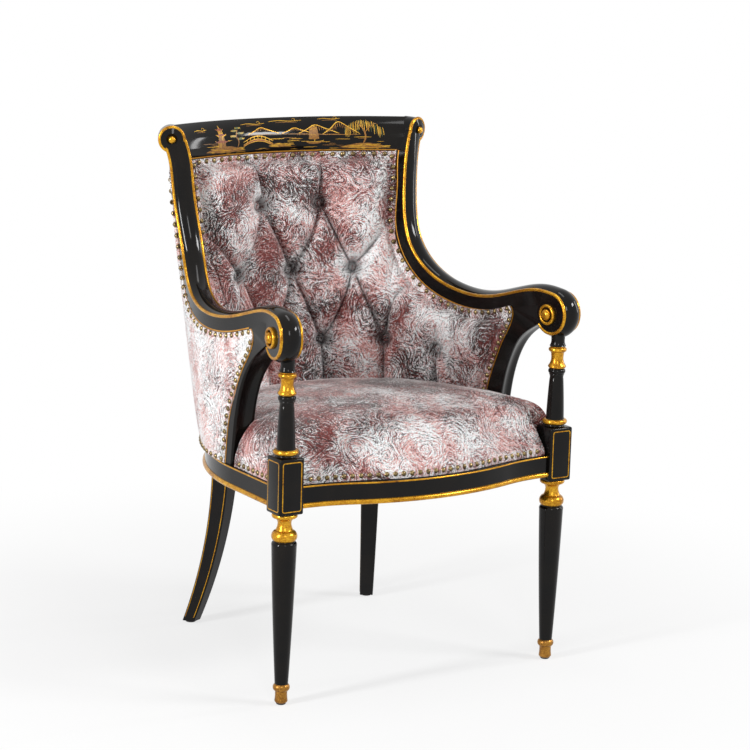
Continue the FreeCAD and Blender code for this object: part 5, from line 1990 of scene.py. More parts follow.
@dataclass
class SeatCushion:
    """Tight crowned seat, cut in round the front blocks and the arm supports."""

    plan: Plan
    support: ArmSupports
    levels: tuple[Three, ...] = (
        (379.0, 5.0, 4.0), (390.0, 7.0, 4.0), (404.0, 17.0, 6.0), (433.0, 34.0, 15.0), (463.0, 58.0, 36.0))
    crown: tuple[Two, ...] = ((479.0, 0.25), (486.0, 0.53), (488.4, 0.80), (488.8, 0.97))
    fall: float = 25.0
    fall_from: float = -225.0
    fall_to: float = 195.0
    fall_power: float = 1.25
    fall_rise: Two = (394.0, 84.0)
    notch_top: float = 446.0
    notch_run: float = 16.0
    crown_y: float = 10.0
    pad_inset: float = 36.0
    pad_swell: float = 14.0
    pad_run: float = 110.0
    gap: float = 0.6

    def build(self, palette: Palette) -> np.ndarray:
        """Make the seat.

        Returns:
            Outline of the lowest visible ring, for the nails.
        """
        rings = [self._ring(*level) for level in self.levels]
        center = vec(0, self.crown_y, 0)
        shoulder = rings[-1]
        for z, share in self.crown:
            ring = center + (shoulder - center) * (1 - share)
            ring[:, 2] = z
            rings.append(ring)
        rows = soft_rows(np.array(rings), 9)
        count = rows.shape[1]
        faces: list[Sequence[int]] = list(grid_faces(len(rows), count, True))
        faces.append(tuple(range(count)))
        top = (len(rows) - 1) * count
        peak = len(rows) * count
        faces += [(top + i, top + (i + 1) % count, peak) for i in range(count)]
        points = np.vstack([rows.reshape(-1, 3), center + UP * (self.crown[-1][0] + 0.05)])
        back = rising(points[:, 1], self.fall_from, self.fall_to - self.fall_from) ** self.fall_power
        points[:, 2] -= self.fall * back * rising(points[:, 2], *self.fall_rise)
        seat = mesh_object("seat_cushion_cover", points, faces)
        mend(seat, 0.01)
        finish(seat, [palette.cloth], ["seat_cushion"], 60)
        return rings[1]

    def _ring(self, z: float, front_in: float, side_in: float) -> np.ndarray:
        """Closed outline at one height."""
        half = self._half(z, front_in, side_in)
        return np.vstack([half, flip(half[1:-1][::-1])])

    def _half(self, z: float, front_in: float, side_in: float) -> np.ndarray:
        """Left half of the outline from the middle of the front to the middle of the back."""
        plan = self.plan
        block = plan.block / 2 + self.gap
        hx = plan.side_x - side_in
        hb = hx * plan.front_half / plan.side_x
        y0 = plan.front_end_y + front_in
        bow = plan.front_bow * hb / plan.front_half
        notch = min(1.0, max(0.0, (self.notch_top - z) / self.notch_run))
        inner_x = hb + (min(hb, plan.leg_x - block) - hb) * notch
        deep_y = y0 + (max(y0, plan.leg_y + block) - y0) * notch
        front = []
        for share in np.linspace(0, 1, 30):
            x = inner_x * share
            front.append(vec(x, y0 - bow * 0.5 * (1 + math.cos(math.pi * min(1.0, x / hb))), z))
        support_y = self.support.front_y(z) - self.gap
        cheek = min(hx, self.support.inner_x - self.gap)
        lower = self.support.back_line.fine[300:]
        back_y = float(np.interp(-z, -lower[:, 2], lower[:, 1]))
        start = front[-1]
        side = []
        for x, y, count in ((inner_x, deep_y, 9), (hx, deep_y, 12), (hx, support_y, 26),
                            (cheek, support_y + 3, 10), (min(cheek, self._pad_x(back_y, z)), back_y, 10)):
            side.append(start + (vec(x, y, z) - start) * np.linspace(0, 1, count + 1)[1:, None])
            start = vec(x, y, z)
        rear = []
        for y in np.linspace(back_y, plan.joint[1], 22)[1:-1]:
            rear.append(vec(min(cheek, self._pad_x(y, z)), y, z))
        inset = self._pad_face(z)
        for angle in np.linspace(plan.joint_angle, 90, 30):
            point = plan.rear_center + heading(angle) * (plan.rear_radius - inset)
            rear.append(vec(min(cheek, point[0]), point[1], z))
        return np.vstack([np.array(front)] + side + [np.array(rear)])

    def _pad_face(self, z: float) -> float:
        """Inset of the inside covers' face at one height."""
        share = (z - self.plan.rail_high) / self.pad_run
        return self.pad_inset + self.pad_swell * max(0.0, min(1.0, share))

    def _pad_x(self, y: float, z: float) -> float:
        """Side of the seat beside the inside arm at one depth."""
        place, normal = self.plan.side_point(y, 0.0)
        return (place - normal * self._pad_face(z))[0]


@dataclass
class NailTrim:
    """Antique dome nails along every border of the covers."""

    plan: Plan
    border_pitch: float = 20.0
    support_pitch: float = 14.3
    seat_pitch: float = 15.0
    radius: float = 4.8
    rise: float = 4.0
    edge_gap: float = 5.2
    stile_normal: Three = (-0.40, -0.90, 0.16)
    stile_columns: slice = field(default_factory=lambda: slice(112, 148))
    corner_columns: slice = field(default_factory=lambda: slice(148, 154))
    stile_fan: int = 50
    stile_touch: float = 4.0
    inside_low: float = 452.0
    outside_low: float = 392.0
    seat_z: float = 386.5
    side_stop: float = -96.0
    sides: int = 10

    def build(self, palette: Palette, inside: Arrays, outside: Arrays, seat: np.ndarray) -> None:
        """Set the nails.

        Args:
            palette: Finishes.
            inside: Face grid of the inside cover and its normals.
            outside: Face grid of the left half of the outside covers and its normals.
            seat: Lowest visible outline of the seat.
        """
        face, normals = inside
        places, outs = self._along_rows(face, normals, True)
        keep = np.ones(len(places), bool)
        for side, mirror in ((slice(None), 1.0), (slice(None, None, -1), -1.0)):
            stile, normal = self._beside_stile(face[side] * vec(mirror, 1, 1))
            places[side][self.stile_columns] = stile * vec(mirror, 1, 1)
            outs[side][self.stile_columns] = normal * vec(mirror, 1, 1)
            keep[side][self.corner_columns] = False
        self._set("nails_inside_border", palette, [(places[keep], outs[keep])], self.border_pitch)
        supports = []
        for grid, outs in ((face, normals), (face[::-1], normals[::-1])):
            supports.append(self._along_column(grid, outs, self.inside_low))
        self._set("nails_inside_supports", palette, supports, self.support_pitch)
        face, normals = outside
        whole, outs = halves(face), halves(normals)
        self._set("nails_outside_border", palette, [self._along_rows(whole, outs, True)], self.border_pitch)
        self._set("nails_outside_foot", palette, [self._along_rows(whole, outs, False)], self.border_pitch)
        supports = [self._along_column(face, normals, self.outside_low)]
        supports.append((flip(supports[0][0]), flip(supports[0][1])))
        self._set("nails_outside_supports", palette, supports, self.support_pitch)
        self._set("nails_seat", palette, self._seat_lines(seat), self.seat_pitch)

    def _along_rows(self, face: np.ndarray, normals: np.ndarray, top: bool) -> Arrays:
        """Line beside the top or bottom border of a grid, with its normals."""
        way = slice(None, None, -1 if top else 1)
        return self._insets([(column[way], normal[way]) for column, normal in zip(face, normals)])

    def _beside_stile(self, face: np.ndarray) -> Arrays:
        """Line on the cover beside the left stile, where columns run along the border, with its normal."""
        line = ease(face[self.stile_columns, -1].copy(), 8)
        out = unit(vec(*self.stile_normal))
        across = np.cross(np.gradient(line, axis=0), out)
        across *= np.sign(-across[:, :1]) / np.linalg.norm(across, axis=1)[:, None]
        places = line + across * self.edge_gap
        near = face[self.stile_columns.start:self.stile_columns.stop + self.stile_fan].reshape(-1, 3)
        lifts = []
        for place in places:
            away = near - place
            level = away @ out
            aside = np.linalg.norm(away - level[:, None] * out, axis=1)
            lifts.append(float(np.max(level[aside < self.stile_touch], initial=0.0)))
        return places + ease(np.array(lifts), 8)[:, None] * out, out

    def _along_column(self, face: np.ndarray, normals: np.ndarray, lowest: float) -> Arrays:
        """Line beside the first column of a grid, above a height, with its normals."""
        rows = [(face[:, row], normals[:, row]) for row in range(face.shape[1]) if face[0, row, 2] > lowest]
        return self._insets(rows[:max(2, len(rows) - 4)])

    def _insets(self, columns: Sequence[Arrays]) -> Arrays:
        """Points one edge gap from the start of each column of points, with their normals."""
        places = []
        outs = []
        for column, normal in columns:
            run = run_of(column)
            places.append(read(self.edge_gap, run, column))
            outs.append(unit(read(self.edge_gap, run, normal)))
        return np.array(places), np.array(outs)

    def _seat_lines(self, ring: np.ndarray) -> list[Arrays]:
        """Lines on the seat over the front rail and the side rails."""
        plan = self.plan
        level_out = vec(1, 1, 0)
        closed = np.vstack([ring, ring[:1]])
        tangents = np.gradient(closed, axis=0)[:-1]
        outs = np.cross(tangents, UP)
        outs /= np.maximum(np.linalg.norm(outs, axis=1), 1e-6)[:, None]
        x, y = ring[:, 0], ring[:, 1]
        block_back = plan.leg_y + plan.block / 2
        front = (np.abs(x) < plan.leg_x - plan.block / 2 - 6) & (y < block_back - 10)
        order = np.argsort(x[front])
        lines = [(ring[front][order] * level_out + UP * self.seat_z, outs[front][order])]
        side = (x > plan.side_x - 12) & (y > block_back + 4) & (y < self.side_stop)
        run = ring[side][np.argsort(y[side])] * level_out + UP * self.seat_z
        level = np.tile(vec(1, 0, 0), (len(run), 1))
        return lines + [(run, level), (flip(run), flip(level))]

    def _set(self, name: str, palette: Palette, lines: Sequence[Arrays], pitch: float) -> None:
        """Make one piece with a dome at every pitch of its lines."""
        dome = self._dome()
        points = []
        faces: list[Sequence[int]] = []
        for places, outs in lines:
            trail = Trail(places)
            number = max(1, round(trail.length / pitch))
            runs = (np.arange(number) + 0.5) * trail.length / number
            for spot, out in zip(trail.at(runs), read(runs, trail.run, outs)):
                out = unit(out)
                side = unit(np.cross(out, UP if abs(out[2]) < 0.9 else vec(1, 0, 0)))
                up = np.cross(side, out)
                base = len(points)
                points += [spot + side * p[0] + up * p[1] + out * p[2] for p in dome]
                faces += [tuple(base + i for i in face) for face in self._dome_faces()]
        item = mesh_object(name, np.array(points), faces)
        edit_all(item)
        bpy.ops.mesh.normals_make_consistent(inside=False)
        bpy.ops.object.mode_set(mode="OBJECT")
        finish(item, [palette.nail], [], 70)

    def _dome(self) -> list[Three]:
        """Points of one nail head."""
        rings = [(1.0, -0.9), (1.0, 0.4), (0.86, 1.7), (0.5, 2.9)]
        points = []
        for share, height in rings:
            for i in range(self.sides):
                a = 2 * math.pi * i / self.sides
                points.append((self.radius * share * math.cos(a), self.radius * share * math.sin(a), height))
        return points + [(0.0, 0.0, self.rise)]

    def _dome_faces(self) -> list[tuple[int, ...]]:
        """Faces of one nail head."""
        faces: list[tuple[int, ...]] = list(grid_faces(4, self.sides, True))
        last = 3 * self.sides
        faces += [(last + i, last + (i + 1) % self.sides, 4 * self.sides) for i in range(self.sides)]
        faces.append(tuple(range(self.sides))[::-1])
        return faces


@dataclass
class GiltLines:
    """Thin painted lines beside the covers, on arms, stiles, supports and crest."""

    plan: Plan
    edge: EdgeLine
    support: ArmSupports
    crest: CrestRail
    wide: float = 2.4
    line_n: float = -25.2
    inset: float = 1.8
    stile_clear: float = 3.0
    clear_share: float = 0.42
    clear_run: float = 0.12
    crest_run: float = 1.9
    crest_half: float = 24.9

    def build(self, palette: Palette) -> None:
        """Paint all the lines."""
        pieces = []
        for inner in (True, False):
            middle, normals = self._cheek_line(inner)
            for mirror, _ in SIDES:
                pieces.append(self._ribbon(sided(middle, mirror), sided(normals, mirror)))
        angles = np.linspace(-self.crest_half, self.crest_half, 90)
        path, outs = zip(*[self.crest.face(angle, self.crest_run) for angle in angles])
        pieces.append(self._ribbon(np.array(path), np.array(outs)))
        finish(join(pieces, "painted_gilt_lines"), [palette.line], [])

    def _ribbon(self, path: np.ndarray, outs: np.ndarray) -> Piece:
        """One painted line."""
        across = unit_rows(np.cross(outs, np.gradient(path, axis=0)))
        return ribbon("line", path, across, outs, self.wide)

    def _cheek_line(self, inner: bool) -> Arrays:
        """Line down the stile, along the arm and down the support's rear edge, with its normals."""
        edge = self.edge
        sign = -1.0 if inner else 1.0
        top = self.plan.crest_border + 2 if inner else self.plan.crest_back_border
        end = self.support.rear(1.0, inner, self.inset)
        path = []
        outs = []
        elbow = edge.share_at_y(edge.elbow_y)
        stile_top = edge.share_at_z(self.plan.crest_border)
        for share in np.linspace(0.03, 1.0, 240):
            place, _, wide, face = edge.station(share)
            clear = 0.0
            if inner:
                clear = self.stile_clear * min(1.0, max(0.0, (self.clear_share - share) / self.clear_run))
                clear += stile_shift((elbow - share) / (elbow - stile_top))
            point = place + wide * sign * edge.cheek + face * (self.line_n + clear)
            if point[2] < top and point[1] > end[1]:
                path.append(point)
                outs.append(wide * sign)
        for share in np.linspace(1, 0, 80):
            path.append(self.support.rear(share, inner, self.inset) + vec(0.3 * sign, 0, 0))
            outs.append(vec(sign, 0, 0))
        return ease(np.array(path), 6), unit_rows(ease(np.array(outs), 6))


class Paint(IntEnum):
    """Paints of the crest picture, in slot order."""

    GOLD = 0
    OCHRE = 1
    RED = 2
    GREEN = 3


@dataclass
class CrestPicture:
    """Painted lake view on the crest: tower and pine, footbridge, sailing boat, far hills and a willow.

    A place of the picture is its run along the crest from the middle and its run up from the lower border.
    """

    crest: CrestRail
    seed: int = 11
    lift: float = 0.10
    layer: float = 0.012
    grain: float = 2.5

    def build(self, palette: Palette) -> None:
        """Paint the picture."""
        self.line = Trail([vec(0, d, z) for d, z in self.crest.section()[2:40]])
        self.draw = np.random.default_rng(self.seed)
        self.points: list[np.ndarray] = []
        self.faces: list[Sequence[int]] = []
        self.paints: list[int] = []
        self._hills()
        self._water()
        self._ground(-182, -86, 9, 15)
        self._ground(112, 206, 7, 13)
        self._ground(-34, 6, 13, 9)
        self._tower(-142, 16)
        self._pine(-104, 17)
        self._bridge(-90, -24, 15)
        self._boat(62, 15)
        self._willow(158, 12)
        self._clouds()
        item = mesh_object("crest_picture", np.array(self.points), self.faces)
        for polygon, paint in zip(item.data.polygons, self.paints):
            polygon.material_index = paint
        finish(item, palette.picture, [])

    def _place(self, flat: np.ndarray) -> Arrays:
        """Points on the crest and outward normals for places of the picture."""
        plan = self.crest.plan
        turn = flat[:, 0] / plan.crest_radius
        runs = np.clip(flat[:, 1], 0.6, self.line.length - 0.6)
        here = self.line.at(runs)
        rise = unit_rows(self.line.at(runs + 0.5) - self.line.at(runs - 0.5))
        out = np.stack([np.sin(turn), np.cos(turn), 0 * turn], axis=1)
        spots = plan.crest_center + out * (plan.crest_radius + here[:, 1:2]) + UP * here[:, 2:3]
        return spots, UP * rise[:, 1:2] - out * rise[:, 2:3]

    def _lay(self, grid: np.ndarray, paint: Paint) -> None:
        """Lay one patch of paint, given as a grid of places."""
        rows, columns, _ = grid.shape
        spots, normals = self._place(grid.reshape(-1, 2))
        height = self.lift + self.layer * (len(self.paints) % 17)
        base = len(self.points)
        self.points += list(spots + normals * height)
        for face in grid_faces(rows, columns, False, base):
            a, b, c = (self.points[i] for i in face[:3])
            faces_out = np.cross(b - a, c - b).dot(normals[face[0] - base]) > 0
            self.faces.append(face if faces_out else face[::-1])
            self.paints.append(int(paint))

    def _resample(self, path: Sequence[Sequence[float]], count: int) -> np.ndarray:
        """Evenly spaced places on a soft curve through the given ones."""
        points = np.array(path, float)
        if len(points) > 2:
            points = soft_rows(points, 8)
        run = run_of(points)
        return read(np.linspace(0, run[-1], count), run, points)

    @staticmethod
    def _around(x: float, y: float, wide: float, *places: Two) -> list[Two]:
        """Places given as shares of a width beside x and as heights over y."""
        return [(x + wide * u, y + v) for u, v in places]

    def _stroke(self, path: Sequence[Sequence[float]], wide: float, paint: Paint = Paint.GOLD,
                ends: float = 0.25) -> None:
        """Brush stroke that thins towards its ends.

        Args:
            path: Places it goes through.
            wide: Width at its middle.
            paint: Paint.
            ends: Share of the width that is left at the ends.
        """
        rough = np.array(path, float)
        length = np.linalg.norm(np.diff(rough, axis=0), axis=1).sum()
        line = self._resample(path, max(4, int(length / self.grain)))
        along = np.gradient(line, axis=0)
        across = np.stack([-along[:, 1], along[:, 0]], axis=1) / np.linalg.norm(along, axis=1)[:, None]
        swell = ends + (1 - ends) * np.sin(np.pi * np.linspace(0.04, 0.96, len(line))) ** 0.6
        half = across * (swell * wide / 2)[:, None]
        self._lay(np.stack([line - half, line + half], axis=1), paint)

    def _fill(self, low: Sequence[Sequence[float]], high: Sequence[Sequence[float]], paint: Paint) -> None:
        """Patch between a lower and an upper outline."""
        rough = np.array(low, float)
        count = max(5, int(np.linalg.norm(np.diff(rough, axis=0), axis=1).sum() / self.grain))
        a, b = self._resample(low, count), self._resample(high, count)
        rows = max(2, int(np.abs(b - a).max() / self.grain) + 1)
        self._lay(np.stack([a + (b - a) * s for s in np.linspace(0, 1, rows)], axis=1), paint)

    def _pad(self, x: float, y: float, wide: float, high: float, paint: Paint) -> None:
        """Flat cushion of leaves."""
        turn = np.linspace(0, math.pi, 7)
        low = [(x - wide * math.cos(a), y - 0.35 * high * math.sin(a)) for a in turn]
        top = [(x - wide * math.cos(a), y + high * math.sin(a)) for a in turn]
        self._fill(low, top, paint)

    def _hills(self) -> None:
        """Far hills with ridge lines and falling hatches."""
        for x, wide, high, base in ((70, 42, 17, 33), (116, 36, 24, 32), (26, 30, 10, 35), (-44, 34, 12, 36)):
            ridge = [(x - wide, base), (x - 0.55 * wide, base + 0.45 * high), (x - 0.1 * wide, base + high),
                     (x + 0.35 * wide, base + 0.6 * high), (x + wide, base)]
            self._stroke(ridge, 1.7)
            for s in np.linspace(0.14, 0.86, 15):
                top = self._resample(ridge, 60)[int(s * 59)]
                reach = (0.35 + 0.3 * self.draw.random()) * (top[1] - base)
                slant = 5 * (s - 0.45)
                self._stroke([top, (top[0] + slant, top[1] - reach)], 1.3, Paint.OCHRE, 0.1)
            self._stroke([(x - wide * 1.1, base - 1), (x + wide * 1.05, base - 1.5)], 1.2, Paint.OCHRE)

    def _water(self) -> None:
        """Short ripples on the lake."""
        for _ in range(46):
            x = self.draw.uniform(-190, 195)
            y = self.draw.uniform(5, 29)
            wide = self.draw.uniform(5, 17)
            self._stroke([(x - wide, y), (x, y + self.draw.uniform(-0.7, 0.7)), (x + wide, y)],
                         self.draw.uniform(0.6, 1.1), Paint(int(self.draw.integers(0, 2))), 0.1)

    def _ground(self, start: float, end: float, y: float, high: float) -> None:
        """Low bank with brushed streaks."""
        steps = np.linspace(0, 1, 9)
        low = [(start + (end - start) * s, y - 2.5 * math.sin(math.pi * s)) for s in steps]
        top = [(start + (end - start) * s, y + 0.6 * high * math.sin(math.pi * s) ** 0.8
                + self.draw.uniform(-0.8, 0.8)) for s in steps]
        self._fill(low, top, Paint.OCHRE)
        for _ in range(26):
            s = self.draw.uniform(0.05, 0.9)
            x = start + (end - start) * s
            level = y + self.draw.uniform(-0.2, 0.5) * high * math.sin(math.pi * s)
            self._stroke([(x, level), (x + self.draw.uniform(6, 18), level + self.draw.uniform(-0.8, 1.2))],
                         self.draw.uniform(0.8, 1.7), Paint.GOLD, 0.1)

    def _tower(self, x: float, y: float) -> None:
        """Three-storey tower with swept roofs."""
        for wide, wall, roof in ((13.0, 9.0, 6.0), (9.8, 8.0, 5.5), (6.8, 7.0, 6.5)):
            self._fill(self._around(x, y, wide, (-0.72, 0), (0.72, 0)),
                       self._around(x, y, wide, (-0.68, wall), (0.68, wall)), Paint.OCHRE)
            for s in (-0.66, -0.25, 0.25, 0.66):
                self._stroke(self._around(x, y, wide, (s, 0), (s, wall)), 1.1, ends=0.8)
            self._stroke(self._around(x, y, wide, (-0.8, 2.2), (0.8, 2.2)), 0.9, ends=0.8)
            y += wall
            eaves = self._around(x, y, wide, (-1.25, 2.2), (-0.7, 0), (0, -0.4), (0.7, 0), (1.25, 2.2))
            ridge = self._around(x, y, wide, (-1.2, 2.8), (-0.72, 2.8), (0, roof), (0.72, 2.8), (1.2, 2.8))
            self._fill(eaves, ridge, Paint.RED)
            tiles = self._around(x, y, wide, (-1.3, 3.2), (-0.7, 0.2), (0, -0.2), (0.7, 0.2), (1.3, 3.2))
            self._stroke(tiles, 1.2, ends=0.6)
            y += roof * 0.62
        self._stroke([(x, y), (x, y + 7)], 1.6, ends=0.2)

    def _pine(self, x: float, y: float) -> None:
        """Leaning pine with flat cushions of needles."""
        self._stroke(self._around(x, y, 1, (0, -4), (3, 8), (-2, 18), (4, 30)), 2.2, Paint.OCHRE, 0.4)
        for dx, dy, wide in ((9, 12, 8), (-8, 17, 8), (9, 22, 9), (-4, 27, 8), (6, 32, 7)):
            self._pad(x + dx, y + dy, wide, 3.2, Paint.GREEN)
            for s in np.linspace(-0.8, 0.8, 7):
                needle = [(x + dx + wide * s, y + dy - 0.6), (x + dx + wide * s * 1.08, y + dy + 2.6)]
                self._stroke(needle, 0.8, ends=0.3)

    def _bridge(self, start: float, end: float, y: float) -> None:
        """Arched footbridge with a railing."""
        steps = np.linspace(0, 1, 9)

        def arch(high: float) -> list[Two]:
            """Places of one arch."""
            return [(start + (end - start) * s, y + high * math.sin(math.pi * s)) for s in steps]

        self._fill(arch(8.5), [(a, b + 2.6) for a, b in arch(9.5)], Paint.RED)
        self._stroke(arch(8.5), 1.1, ends=0.6)
        self._stroke([(a, b + 2.8) for a, b in arch(9.5)], 1.1, ends=0.6)
        self._stroke([(a, b + 7.6) for a, b in arch(10.0)], 1.2, ends=0.6)
        for a, b in arch(9.8)[1:-1]:
            self._stroke([(a, b + 2), (a, b + 8)], 1.0, ends=0.8)

    def _boat(self, x: float, y: float) -> None:
        """Sailing boat with a ribbed square sail."""
        self._fill(self._around(x, y, 1, (-17, 3.6), (-9, 0), (9, 0), (18, 4.4)),
                   self._around(x, y, 1, (-17, 4.4), (-9, 3.4), (9, 3.4), (18, 5.2)), Paint.OCHRE)
        self._stroke(self._around(x, y, 1, (-18, 4.6), (-9, 3.4), (9, 3.5), (19, 5.6)), 1.3, ends=0.5)
        self._stroke(self._around(x, y, 1, (1, 3), (1, 33)), 1.2, ends=0.8)
        self._fill(self._around(x, y, 1, (-11, 9), (0, 7.6), (10, 9)),
                   self._around(x, y, 1, (-8, 29), (0, 31), (7, 30)), Paint.OCHRE)
        for s in np.linspace(0, 1, 7):
            drop = 20.5 * s
            rib = [(x - 8 - 3 * s, y + 29.5 - drop), (x, y + 31.2 - drop * 1.12),
                   (x + 7 + 3 * s, y + 30 - drop)]
            self._stroke(rib, 1.0, ends=0.6)

    def _willow(self, x: float, y: float) -> None:
        """Bowed willow with trailing strands."""
        self._stroke(self._around(x, y, 1, (0, 0), (5, 14), (1, 29), (-9, 42)), 3.2, Paint.OCHRE, 0.35)
        self._stroke(self._around(x, y, 1, (3, 22), (16, 36), (26, 41)), 1.9, Paint.OCHRE, 0.3)
        for i in range(44):
            s = i / 43
            top = (x - 34 + 70 * s + self.draw.uniform(-2, 2), y + 33 + 15 * math.sin(math.pi * s)
                   + self.draw.uniform(-3, 2))
            fall = self.draw.uniform(11, 27)
            strand = [top, (top[0] + 3 * (s - 0.5), top[1] - 0.5 * fall),
                      (top[0] + 5 * (s - 0.5), top[1] - fall)]
            self._stroke(strand, 1.0, Paint.GREEN if i % 3 == 0 else Paint.GOLD, 0.25)

    def _clouds(self) -> None:
        """Scrolled bands of cloud near the top."""
        for x, y, wide in ((-62, 56, 26), (8, 60, 34), (96, 63, 22), (-190, 50, 16)):
            self._stroke(self._around(x, y, wide, (-1, 0), (-0.4, 1.6), (0.3, -0.4), (1, 1.0)), 1.4)
            self._stroke(self._around(x, y, wide, (-0.6, -3.2), (0, -2.6), (0.7, -3.4)), 1.1, Paint.OCHRE)
            turn = np.linspace(0, 1.5 * math.pi, 9)
            curl = [(x + 0.55 * wide - 3.6 * math.cos(a), y + 3.0 + 2.8 * math.sin(a)) for a in turn]
            self._stroke(curl, 0.9)


@dataclass
class DustCover:
    """Black cambric tacked under the seat rails, cut out round the legs."""

    plan: Plan
    inset: float = 12.0
    low: float = 339.4
    sag: float = 3.0
    rings: int = 14

    def build(self, palette: Palette) -> None:
        """Make the sheet."""
        outline = self._outline()
        center = np.append(outline[:, :2].mean(axis=0), 0.0)
        rows = []
        for share in np.linspace(1, 0.04, self.rings):
            ring = center + (outline - center) * share
            ring[:, 2] = self.low - self.sag * (1 - share ** 2)
            rows.append(ring)
        count = len(outline)
        faces: list[Sequence[int]] = list(grid_faces(self.rings, count, True))
        faces.append(tuple((self.rings - 1) * count + i for i in range(count)))
        cover = mesh_object("dust_cover_sheet", np.array(rows).reshape(-1, 3), faces)
        mend(cover, 0.01)
        face_towards(cover, vec(0, 0, -1))
        finish(cover, [palette.cambric], ["dust_cover"], 40)

    def _outline(self) -> np.ndarray:
        """Cut outline, round the front blocks and the sabre legs."""
        plan = self.plan
        clear = plan.block / 2 + 0.6
        tub, tub_out = plan.tub_outline(260)
        front, front_out = plan.front_outline(120)
        back_line = tub - tub_out * self.inset
        back_line = back_line[back_line[:, 1] > plan.leg_y + clear]
        front_line = (front - front_out * self.inset)[::-1]
        front_line = front_line[np.abs(front_line[:, 0]) < plan.leg_x - clear]
        corner = vec(plan.leg_x - clear, plan.leg_y + clear, 0)
        line = np.vstack([back_line, flip(corner), front_line, corner])
        legs = RearLegs(plan)
        middle, side = legs.center_at(plan.rail_low)
        half = side / 2 + 0.8
        axes = (heading(90 - legs.toe_out), heading(-legs.toe_out), middle * vec(1, 1, 0))
        for mirror, _ in SIDES:
            ahead, beside, spot = (sided(axis, mirror) for axis in axes)
            u, v = (line - spot) @ ahead, (line - spot) @ beside
            inside = (np.abs(v) < half) & (u > -half)
            line = line + ahead * np.where(inside, -half - u, 0.0)[:, None]
        return line


def dress_hidden(palette: Palette) -> None:
    """Give the hidden frame, which the CAD shapes show, its finishes."""
    beech = ("back_tack_rail", "arm_tack_rail_left", "arm_tack_rail_right", "front_corner_blocks",
             "rear_corner_blocks", "frame_dowels")
    finishes = dict.fromkeys(beech, palette.beech)
    finishes |= {"corner_block_screws": palette.zinc, "seat_webbing": palette.jute}
    for node, material in finishes.items():
        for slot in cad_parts[node].material_slots:
            slot.material = material


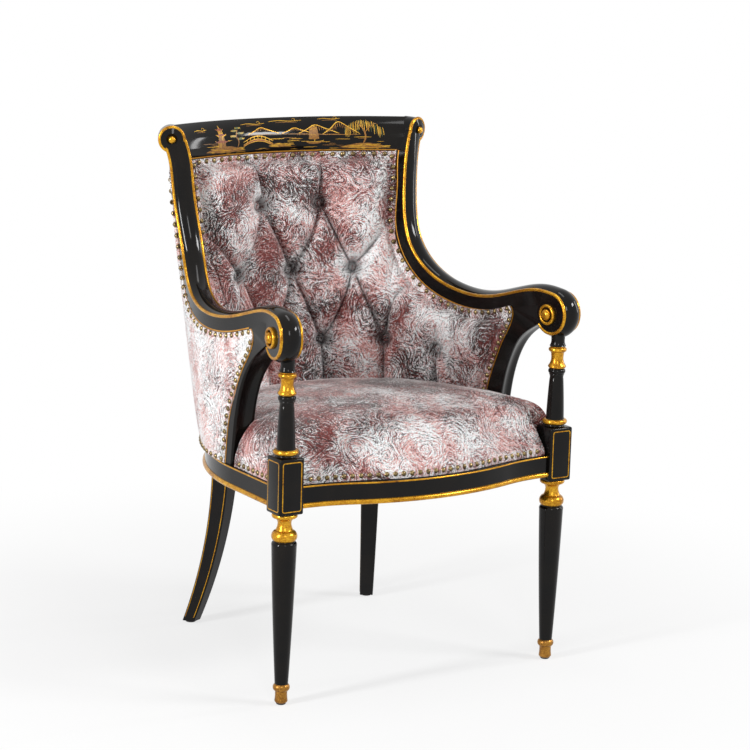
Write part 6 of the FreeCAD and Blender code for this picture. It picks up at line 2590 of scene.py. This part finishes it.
@dataclass
class Studio:
    """White paper floor, soft lights and the camera at the photograph's angle."""

    place: Three = (-2.28790, -3.73909, 1.40031)
    aim: Three = (0.51872361, 0.83079525, -0.20175497)
    roll: float = 1.565
    lens: float = 120.83

    def build(self) -> None:
        """Make floor, lights, world and camera."""
        self._floor()
        self._lights()
        self._camera()

    @staticmethod
    def _seen(tree: Tree) -> Socket:
        """Switch that is 1 for camera, glossy and transmission rays."""
        path = add(tree, "LightPath")
        seen = {0: path["Is Camera Ray"], 1: path["Is Glossy Ray"]}
        seen = {0: add(tree, "Math", seen, operation="MAXIMUM")[0], 1: path["Is Transmission Ray"]}
        return add(tree, "Math", seen, operation="MAXIMUM")[0]

    def _floor(self) -> None:
        """Pale floor that keeps the chair's shadow."""
        bpy.ops.object.select_all(action="DESELECT")
        bpy.ops.mesh.primitive_plane_add(size=14, location=(0, 0, -0.0005))
        floor = bpy.context.object
        floor.name = "floor_paper"
        material, tree, shader, place = fresh_material("white paper")
        feed(tree, shader, {"Base Color": srgb("#f4f4f4"), "Roughness": 0.9})
        away = add(tree, "VectorMath", {0: place}, operation="LENGTH")["Value"]
        span = {0: away, 1: 0.35, 2: 1.3, 3: 0.72, 4: 1.0}
        far = add(tree, "MapRange", span, interpolation_type="SMOOTHSTEP")[0]
        share = add(tree, "Math", {0: self._seen(tree), 1: far}, operation="MULTIPLY")[0]
        glow = add(tree, "Emission", {"Color": (1, 1, 1, 1), "Strength": 1.0})[0]
        mix = add(tree, "MixShader", {0: share, 1: shader.outputs[0], 2: glow})[0]
        feed(tree, tree.nodes["Material Output"], {0: mix})
        floor.data.materials.append(material)

    def _lights(self) -> None:
        """Broad soft boxes and a white surround."""
        world = bpy.data.worlds.new("white surround")
        bpy.context.scene.world = world
        world.use_nodes = True
        tree = world.node_tree
        strength = add(tree, "MapRange", {0: self._seen(tree), 1: 0.0, 2: 1.0, 3: 0.13, 4: 1.0})[0]
        feed(tree, tree.nodes["Background"], {"Color": (1, 1, 1, 1), "Strength": strength})
        for name, place, size, power in (
                ("key", (2.3, -2.3, 2.6), (1.1, 0.6), 75.0),
                ("front", (-1.4, -3.4, 2.2), (0.5, 1.0), 19.0),
                ("left_strip", (-3.0, -0.5, 1.4), (0.32, 1.7), 80.0),
                ("right_strip", (2.9, -0.6, 1.3), (0.2, 1.5), 14.0),
                ("top", (0.1, 0.0, 3.0), (1.3, 0.4), 10.0)):
            data = bpy.data.lights.new(name, "AREA")
            data.shape = "RECTANGLE"
            data.size, data.size_y = size
            data.energy = power
            lamp = bpy.data.objects.new(name, data)
            lamp.location = place
            lamp.rotation_euler = (Vector((0, 0, 0.5)) - Vector(place)).to_track_quat("-Z", "Y").to_euler()
            bpy.context.collection.objects.link(lamp)

    def _camera(self) -> None:
        """Camera fitted to the photograph."""
        data = bpy.data.cameras.new("photo camera")
        data.lens = self.lens
        data.sensor_width = 36.0
        camera = bpy.data.objects.new("photo camera", data)
        ahead = unit(vec(*self.aim))
        right = unit(np.cross(ahead, UP))
        up = np.cross(right, ahead)
        turn = math.radians(self.roll)
        x_axis = right * math.cos(turn) + up * math.sin(turn)
        y_axis = up * math.cos(turn) - right * math.sin(turn)
        matrix = np.eye(4)
        matrix[:3, 0], matrix[:3, 1], matrix[:3, 2], matrix[:3, 3] = x_axis, y_axis, -ahead, self.place
        camera.matrix_world = Matrix(matrix)
        bpy.context.collection.objects.link(camera)
        bpy.context.scene.camera = camera


def main() -> None:
    """Build every sub-assembly in order."""
    logging.basicConfig(level=logging.INFO)
    bpy.context.scene.view_settings.view_transform = "Standard"
    palette = Palette()
    plan = Plan()
    edge = EdgeLine(plan)
    Studio().build()
    FrontLegs(plan).build(palette)
    ArmPosts(plan).build(palette)
    RearLegs(plan).build(palette)
    SeatRails(plan).build(palette)
    ArmFrames(plan, edge).build(palette)
    crest = CrestRail(plan)
    crest.build(palette)
    support = ArmSupports(plan, edge)
    support.build(palette)
    inside = InsideTub(plan, edge, support).build(palette)
    outside = OutsideCovers(plan, edge, support).build(palette)
    seat = SeatCushion(plan, support).build(palette)
    NailTrim(plan).build(palette, inside, outside, seat)
    GiltLines(plan, edge, support, crest).build(palette)
    CrestPicture(crest).build(palette)
    DustCover(plan).build(palette)
    dress_hidden(palette)


if __name__ == "__main__":
    main()
